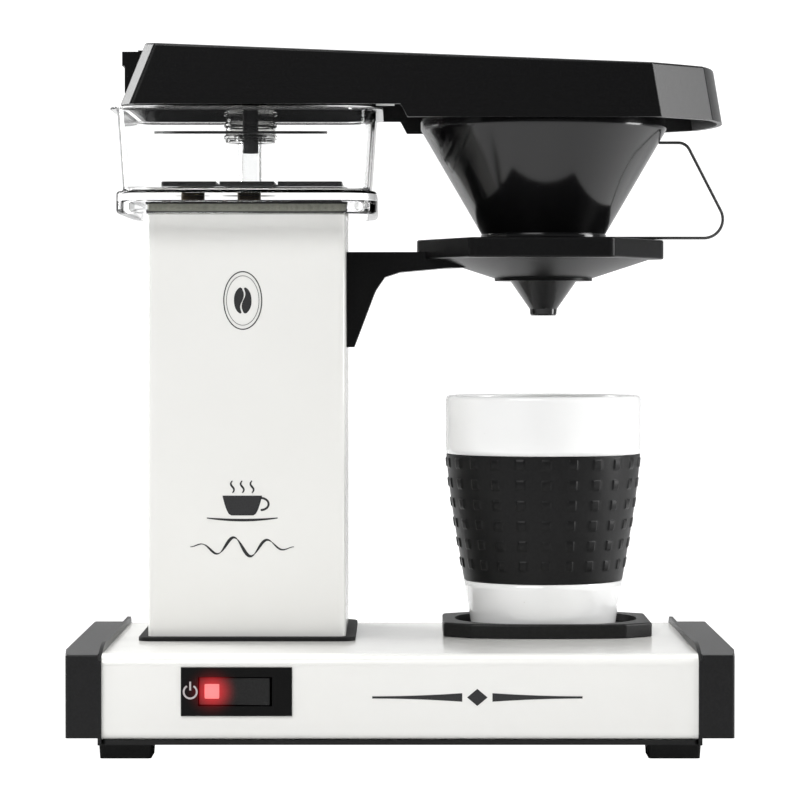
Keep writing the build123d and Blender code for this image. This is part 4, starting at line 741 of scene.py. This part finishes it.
# ---- Cover plate and riser ----------------------------------------------------------
# A square black moulding stands on a hub over the fittings in the tank. The riser is a length of glass tube
# with fire-polished ends, pushed into the hub.
finish_nodes(satin_black, "element_cover")


def turned(name, profile, centre, segments=96, closed=True):
    """A profile of (radius, height) carried round an upright axis: a loop if closed, else an open line whose
    two ends are drawn to the axis."""
    profile = np.asarray(profile, float)
    angle = np.linspace(0.0, 2 * math.pi, segments, endpoint=False)
    x = centre[0] + profile[:, :1] * np.cos(angle)
    y = centre[1] + profile[:, :1] * np.sin(angle)
    z = np.broadcast_to(profile[:, 1:], x.shape)
    poles = (False, False) if closed else (True, True)
    return grid_mesh(name, np.stack([x, y, z], 2), along=closed, poles=poles)


riser_low, riser_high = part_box("riser_tube")
RISER_RADIUS = (riser_high.x - riser_low.x) / 2
RISER_WALL = 0.0013
RISER_BORE = RISER_RADIUS - RISER_WALL
seam_z = riser_low.z + 0.009
riser_profile = bent(
    [(RISER_BORE, seam_z + 0.001), (RISER_BORE, riser_high.z), (RISER_RADIUS, riser_high.z),
     (RISER_RADIUS, riser_low.z), (RISER_BORE, riser_low.z), (RISER_BORE, seam_z)],
    [0.0006, 0.0006, 0.0005, 0.0005])
riser = turned("glass_riser", riser_profile[::-1], (tower_x, tower_y), 64)
riser.data.materials.append(clear_material("riser_glass", (0.98, 0.985, 0.983), 1.47, 0.01, 0.000005))
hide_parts("riser_tube")
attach(riser, "base")


# ---- Hood -------------------------------------------------------------------------
# One long satin black moulding with leaning walls and a crowned top, with its filling lid, pipe, spray head
# and the collar that slips over the riser. The grain is finer and glossier than the end caps'.
hood_black = moulded_material("hood_black", (0.0025, 0.0025, 0.0026), (0.0042, 0.0042, 0.0044), 0.26,
                              0.0008, 0.000012, edge=0.25, specular=0.22)
finish_nodes(hood_black, "hood_cover", "fill_lid")
finish_nodes(plate_black, "outlet_tube", "spray_head", "core_pipe")
finish_nodes(steel, "lid_pin", "tube_clips", "clip_screws")
collar_low, collar_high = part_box("riser_collar")
COLLAR_RADIUS = (collar_high.x - collar_low.x) / 2
COLLAR_WALL = 0.0016
COLLAR_RIBS = (0.0024, 0.0078, 0.0128)
RIB_PROUD = 0.0007
RIB_TOP_HALF = 0.0007
RIB_FOOT_HALF = 0.001
COLLAR_PLAY = 0.0004
COLLAR_FOOT = 0.0028


def collar_profile():
    """The collar's section: a thin sleeve with outside ribs, and a ring at its foot round the riser."""
    inside, outside = COLLAR_RADIUS - COLLAR_WALL, COLLAR_RADIUS - RIB_PROUD
    bore = RISER_RADIUS + COLLAR_PLAY
    points = [(bore, collar_low.z), (outside, collar_low.z)]
    for rib in COLLAR_RIBS:
        z = collar_low.z + rib
        points += [(outside, z - RIB_FOOT_HALF), (COLLAR_RADIUS, z - RIB_TOP_HALF),
                   (COLLAR_RADIUS, z + RIB_TOP_HALF), (outside, z + RIB_FOOT_HALF)]
    foot_top = collar_low.z + COLLAR_FOOT
    points += [(outside, collar_high.z), (inside, collar_high.z), (inside, foot_top),
               (bore, foot_top), (bore, collar_low.z + 0.0003)]
    return bent(points, [0.0004] * (len(points) - 2), steps=4, hold=0.00005)


collar = turned("riser_collar_sleeve", collar_profile(), (tower_x, tower_y), 72)
collar.data.materials.append(clear_material("collar_smoke", (0.70, 0.70, 0.69), 1.3, 0.06, 0.00002))
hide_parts("riser_collar")
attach(collar, "hood")
disc_black = moulded_material("disc_black", (0.003, 0.003, 0.003), (0.006, 0.006, 0.006), 0.45, 0.0012,
                              0.00002, edge=0.15, specular=0.3)
finish_nodes(disc_black, "splash_disc")


# ---- Filter holder -----------------------------------------------------------------
# A six-sided plate on an arm, one stiff glass-filled moulding with a rougher grain, screwed to the tower.
holder_black = moulded_material("holder_black", (0.004, 0.004, 0.0042), (0.0065, 0.0065, 0.0067), 0.3,
                                0.0011, 0.00002, edge=0.3, specular=0.12)
finish_nodes(holder_black, "filter_holder")


# ---- Filter cone, spout and handle ---------------------------------------------------
# The cone is a glossier moulding with a rolled rim. Ribs inside hold the paper off its wall, so that the
# coffee runs down to the spout. The handle is one bent wire in a dark coating.
cone_low, cone_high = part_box("basket_cone")
brew_x = (cone_low.x + cone_high.x) / 2
brew_y = (cone_low.y + cone_high.y) / 2
CONE_RIM_RADIUS = (cone_high.x - cone_low.x) / 2
CONE_FOOT_RADIUS = 0.0276
CONE_BODY_LOW = 0.0272
CONE_WALL = 0.002
CONE_FLOOR = 0.003
CONE_LIP = 0.0052
CONE_OUTLET = 0.009
CONE_RIBS = 24
RIB_HEIGHT = 0.0009
RIB_FADE = 0.008
CONE_SEGMENTS = 288
lip_low = cone_high.z - CONE_LIP
floor_z = cone_low.z + CONE_FLOOR
cone_profile = bent(
    [(CONE_OUTLET, floor_z), (CONE_FOOT_RADIUS - 0.003, floor_z),
     (CONE_RIM_RADIUS - CONE_WALL, lip_low), (CONE_RIM_RADIUS - CONE_WALL, cone_high.z),
     (CONE_RIM_RADIUS, cone_high.z), (CONE_RIM_RADIUS, lip_low), (CONE_BODY_LOW, cone_low.z + 0.002),
     (CONE_FOOT_RADIUS, cone_low.z + 0.0016), (CONE_FOOT_RADIUS, cone_low.z), (CONE_OUTLET, cone_low.z),
     (CONE_OUTLET, floor_z - 0.0002)],
    [0.002, 0.0025, 0.0008, 0.0008, 0.003, 0.0006, 0.0004, 0.0005, 0.0005])


def ribbed_cone(name, profile, centre):
    """The cone's profile carried round its axis. On its inner wall the radius is less by a narrow bump that
    repeats CONE_RIBS times and fades out towards the rim and the floor."""
    angle = np.linspace(0.0, 2 * math.pi, CONE_SEGMENTS, endpoint=False)
    dense = np.concatenate([profile[:12], np.linspace(profile[11], profile[12], 14)[1:-1], profile[12:]])
    inner = (np.arange(len(dense)) > 9) & (np.arange(len(dense)) < 26)
    height = np.clip((dense[:, 1] - cone_low.z - 0.006) / 0.006, 0, 1)
    fade = height * np.clip((lip_low - RIB_FADE - dense[:, 1]) / RIB_FADE, 0, 1) * inner
    bump = np.clip((np.cos(angle * CONE_RIBS) - 0.55) / 0.3, 0, 1)
    radius = dense[:, :1] - RIB_HEIGHT * fade[:, None] * bump[None]
    x = centre[0] + radius * np.cos(angle)
    y = centre[1] + radius * np.sin(angle)
    return grid_mesh(name, np.stack([x, y, np.broadcast_to(dense[:, 1:], x.shape)], 2), along=True)


cone = ribbed_cone("filter_cone", cone_profile, (brew_x, brew_y))
cone_black = moulded_material("cone_black", (0.0035, 0.0035, 0.0037), (0.006, 0.006, 0.0063), 0.13, 0.0007,
                              0.000004, edge=0.2, specular=0.5)
cone.data.materials.append(cone_black)
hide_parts("basket_cone")
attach(cone, "basket")
finish_nodes(cone_black, "basket_outlet")
coated_wire = moulded_material("coated_wire", (0.03, 0.03, 0.03), (0.05, 0.05, 0.05), 0.35, 0.001, 0.00001)
finish_nodes(coated_wire, "basket_handle")


# ---- Mug stand and mug ---------------------------------------------------------------
# The stand is a slab of soft rubber with a rounded seat. The mug is thick white porcelain, shaped on a mould
# and glazed all over, with a shallow recess round it for the sleeve.
stand_rubber = moulded_material("stand_rubber", (0.005, 0.005, 0.005), (0.010, 0.010, 0.010), 0.42, 0.0012,
                                0.00003, edge=0.35, specular=0.25)
finish_nodes(stand_rubber, "trivet")
mug_low, mug_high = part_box("mug_body")
grip_low, grip_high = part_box("mug_grip")
mug_x = (mug_low.x + mug_high.x) / 2
mug_y = (mug_low.y + mug_high.y) / 2
MUG_RIM = (mug_high.x - mug_low.x) / 2
MUG_FOOT = 0.0319
MUG_WALL = 0.0036
MUG_FLOOR = 0.006
FOOT_RING = 0.005
FOOT_HOLLOW = 0.0012
BOWL_RADIUS = 0.011
GRIP_RECESS = 0.0008
mug_heights = np.array([mug_low.z + 0.001, grip_low.z, grip_high.z, mug_high.z - 0.0016])
mug_radii = np.array([MUG_FOOT, 0.0349, 0.0428, MUG_RIM])


def wall_curve(z):
    """Outer radius of the mug: a cubic through its four main radii, held at the rim's where it would pass."""
    radius = np.polyval(np.polyfit(mug_heights - mug_low.z, mug_radii, 3), z - mug_low.z)
    return np.minimum(radius, MUG_RIM)


def mug_profile():
    """From the middle of the underside round the foot ring, up the outside, round the lip, down the inside
    and across the floor to the middle."""
    below = np.linspace(mug_low.z + 0.0015, grip_low.z - 0.0002, 8)
    behind = np.linspace(grip_low.z - 0.0001, grip_high.z + 0.0001, 20)
    above = np.linspace(grip_high.z + 0.0002, mug_high.z - 0.0022, 12)
    outer_z = np.concatenate([below, behind, above])
    step = np.repeat([0.0, GRIP_RECESS, 0.0], [len(below), len(behind), len(above)])
    outer = np.column_stack([wall_curve(outer_z) - step, outer_z])
    lip_turn = np.linspace(0.15, math.pi - 0.15, 10)
    lip_radius = MUG_WALL / 2
    lip = np.column_stack([MUG_RIM - lip_radius + lip_radius * np.cos(lip_turn),
                           mug_high.z - lip_radius + lip_radius * np.sin(lip_turn)])
    inner_z = np.linspace(mug_high.z - 0.0024, mug_low.z + 0.018, 24)
    inner = np.column_stack([wall_curve(inner_z) - MUG_WALL, inner_z])
    bowl_turn = np.linspace(0.1, math.pi / 2, 10)
    inside_z = mug_low.z + MUG_FLOOR
    bowl_edge = float(wall_curve(inside_z + BOWL_RADIUS)) - MUG_WALL - BOWL_RADIUS
    bowl = np.column_stack([bowl_edge + BOWL_RADIUS * np.cos(bowl_turn),
                            inside_z + BOWL_RADIUS - BOWL_RADIUS * np.sin(bowl_turn)])
    floor_run = np.column_stack([[0.016, 0.006], [inside_z] * 2])
    hollow_z = mug_low.z + FOOT_HOLLOW
    under = bent([(0.006, hollow_z), (MUG_FOOT - FOOT_RING, hollow_z), (MUG_FOOT - 0.0042, mug_low.z),
                  (MUG_FOOT, mug_low.z), (MUG_FOOT, mug_low.z + 0.0014)],
                 [0.0004, 0.0006, 0.0012])
    return np.concatenate([under[:-1], outer, lip, inner, bowl, floor_run])


def glaze_material():
    """White glaze: thick clear coat over a nearly even body, with rare iron specks and a slow ripple."""
    material, tree, shader = new_material("white_glaze")
    point = object_point(tree)
    body = add(tree, "ShaderNodeTexNoise", {"Vector": point, "Scale": 22.0, "Detail": 3.0})
    colour = ramp(tree, body.outputs["Fac"], [(0.3, (0.87, 0.87, 0.862)), (0.7, (0.9, 0.9, 0.895))])
    specks = add(tree, "ShaderNodeTexVoronoi", {"Vector": point, "Scale": 130.0})
    mask = add(tree, "ShaderNodeMapRange", {"Value": specks.outputs["Distance"], "From Min": 0.05,
                                            "From Max": 0.02})
    faint = add(tree, "ShaderNodeMath", {0: mask.outputs[0], 1: 0.3}, operation="MULTIPLY").outputs[0]
    mixed = add(tree, "ShaderNodeMix", {0: faint, 6: colour, 7: (0.5, 0.47, 0.42, 1.0)}, data_type="RGBA")
    tree.links.new(mixed.outputs[2], shader.inputs["Base Color"])
    roughness = add(tree, "ShaderNodeMapRange", {"Value": body.outputs["Fac"], "From Min": 0.3,
                                                 "From Max": 0.7, "To Min": 0.12, "To Max": 0.2})
    tree.links.new(roughness.outputs[0], shader.inputs["Roughness"])
    ripple = add(tree, "ShaderNodeTexNoise", {"Vector": point, "Scale": 70.0, "Detail": 1.0})
    relief = add(tree, "ShaderNodeBump", {"Height": ripple.outputs["Fac"], "Distance": 0.00004,
                                          "Strength": 0.3})
    tree.links.new(relief.outputs["Normal"], shader.inputs["Normal"])
    shader.inputs["Coat Weight"].default_value = 0.6
    shader.inputs["Coat Roughness"].default_value = 0.05
    return material


mug = turned("porcelain_mug", mug_profile(), (mug_x, mug_y), 128, closed=False)
mug.data.materials.append(glaze_material())
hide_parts("mug_body")
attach(mug, "mug")


# ---- Grip sleeve ---------------------------------------------------------------------
# Black moulded silicone, stretched into the recess round the mug. Square studs in rows and columns stand
# proud of it.
STUD_COLUMNS = 23
STUD_ROWS = 6
STUD_WIDTH = 0.0038
STUD_HEIGHT = 0.004
STUD_PROUD = 0.0005
STUD_FIRST = grip_low.z + 0.0079
STUD_PITCH = 0.0088
SLEEVE = 0.00062
SLEEVE_BED = 0.00015
STUD_PHASE = math.radians(3.5)
STUD_SHOULDER = 0.032
MEAN_RADIUS = 0.041
SLEEVE_EDGE = 0.0003
# stations over one pitch, as shares of it: the gap, the stud's foot, its shoulder and its flat top
STUD_SHARES = np.array([-0.5, -0.36, -0.22, -0.175, -0.15, -0.12, 0.0, 0.12, 0.15, 0.175, 0.22, 0.36])


def stud_step(share, half):
    """1 over a stud and 0 off it, with a rounded shoulder. share and half are in pitches from its middle."""
    t = np.clip((half - np.abs(share)) / STUD_SHOULDER + 0.5, 0, 1)
    return t * t * (3 - 2 * t)


def studded_sleeve():
    """The sleeve follows the mug's wall at one thickness, plus a stud wherever a row and a column cross."""
    pitch_angle = 2 * math.pi / STUD_COLUMNS
    share = np.tile(STUD_SHARES, STUD_COLUMNS)
    angle = (np.repeat(np.arange(STUD_COLUMNS), len(STUD_SHARES)) + share) * pitch_angle + STUD_PHASE
    half_across = 0.5 * STUD_WIDTH / (pitch_angle * MEAN_RADIUS)
    rows = np.arange(STUD_ROWS)[:, None] + STUD_SHARES[None] * 1.5
    z = STUD_FIRST + rows.ravel() * STUD_PITCH
    low, top = grip_low.z, grip_high.z
    low_ends = np.array([low + SLEEVE_EDGE, low + 2 * SLEEVE_EDGE])
    top_ends = np.array([top - 2 * SLEEVE_EDGE, top - SLEEVE_EDGE])
    z = np.sort(np.concatenate([low_ends, z[(z > low_ends[1]) & (z < top_ends[0])], top_ends]))
    row_share = (z - STUD_FIRST) / STUD_PITCH
    row_share = row_share - np.clip(np.round(row_share), 0, STUD_ROWS - 1)
    up = stud_step(row_share, 0.5 * STUD_HEIGHT / STUD_PITCH)
    proud = STUD_PROUD * up[:, None] * stud_step(share, half_across)[None]
    bed = wall_curve(z) - GRIP_RECESS + SLEEVE_BED
    outer = bed[:, None] + SLEEVE + proud
    bare = np.ones((1, len(angle)))
    low_bed, top_bed = wall_curve(np.array([low, top])) - GRIP_RECESS + SLEEVE_BED
    rings = [(low_bed + SLEEVE - SLEEVE_EDGE) * bare, outer, (top_bed + SLEEVE - SLEEVE_EDGE) * bare,
             top_bed * bare, bed[::-1][:, None] * bare, low_bed * bare]
    heights = np.concatenate([[low], z, [top], [top], z[::-1], [low]])
    radius = np.concatenate(rings)
    x = mug_x + radius * np.cos(angle)
    y = mug_y + radius * np.sin(angle)
    points = np.stack([x, y, np.repeat(heights[:, None], len(angle), 1)], 2)
    return grid_mesh("studded_grip", points, along=True)


sleeve = studded_sleeve()
silicone = moulded_material("black_silicone", (0.0025, 0.0025, 0.0026), (0.0055, 0.0055, 0.0057), 0.4,
                            0.0012, 0.00002, edge=0.25, specular=0.2)
sleeve.data.materials.append(silicone)
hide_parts("mug_grip")
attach(sleeve, "mug")
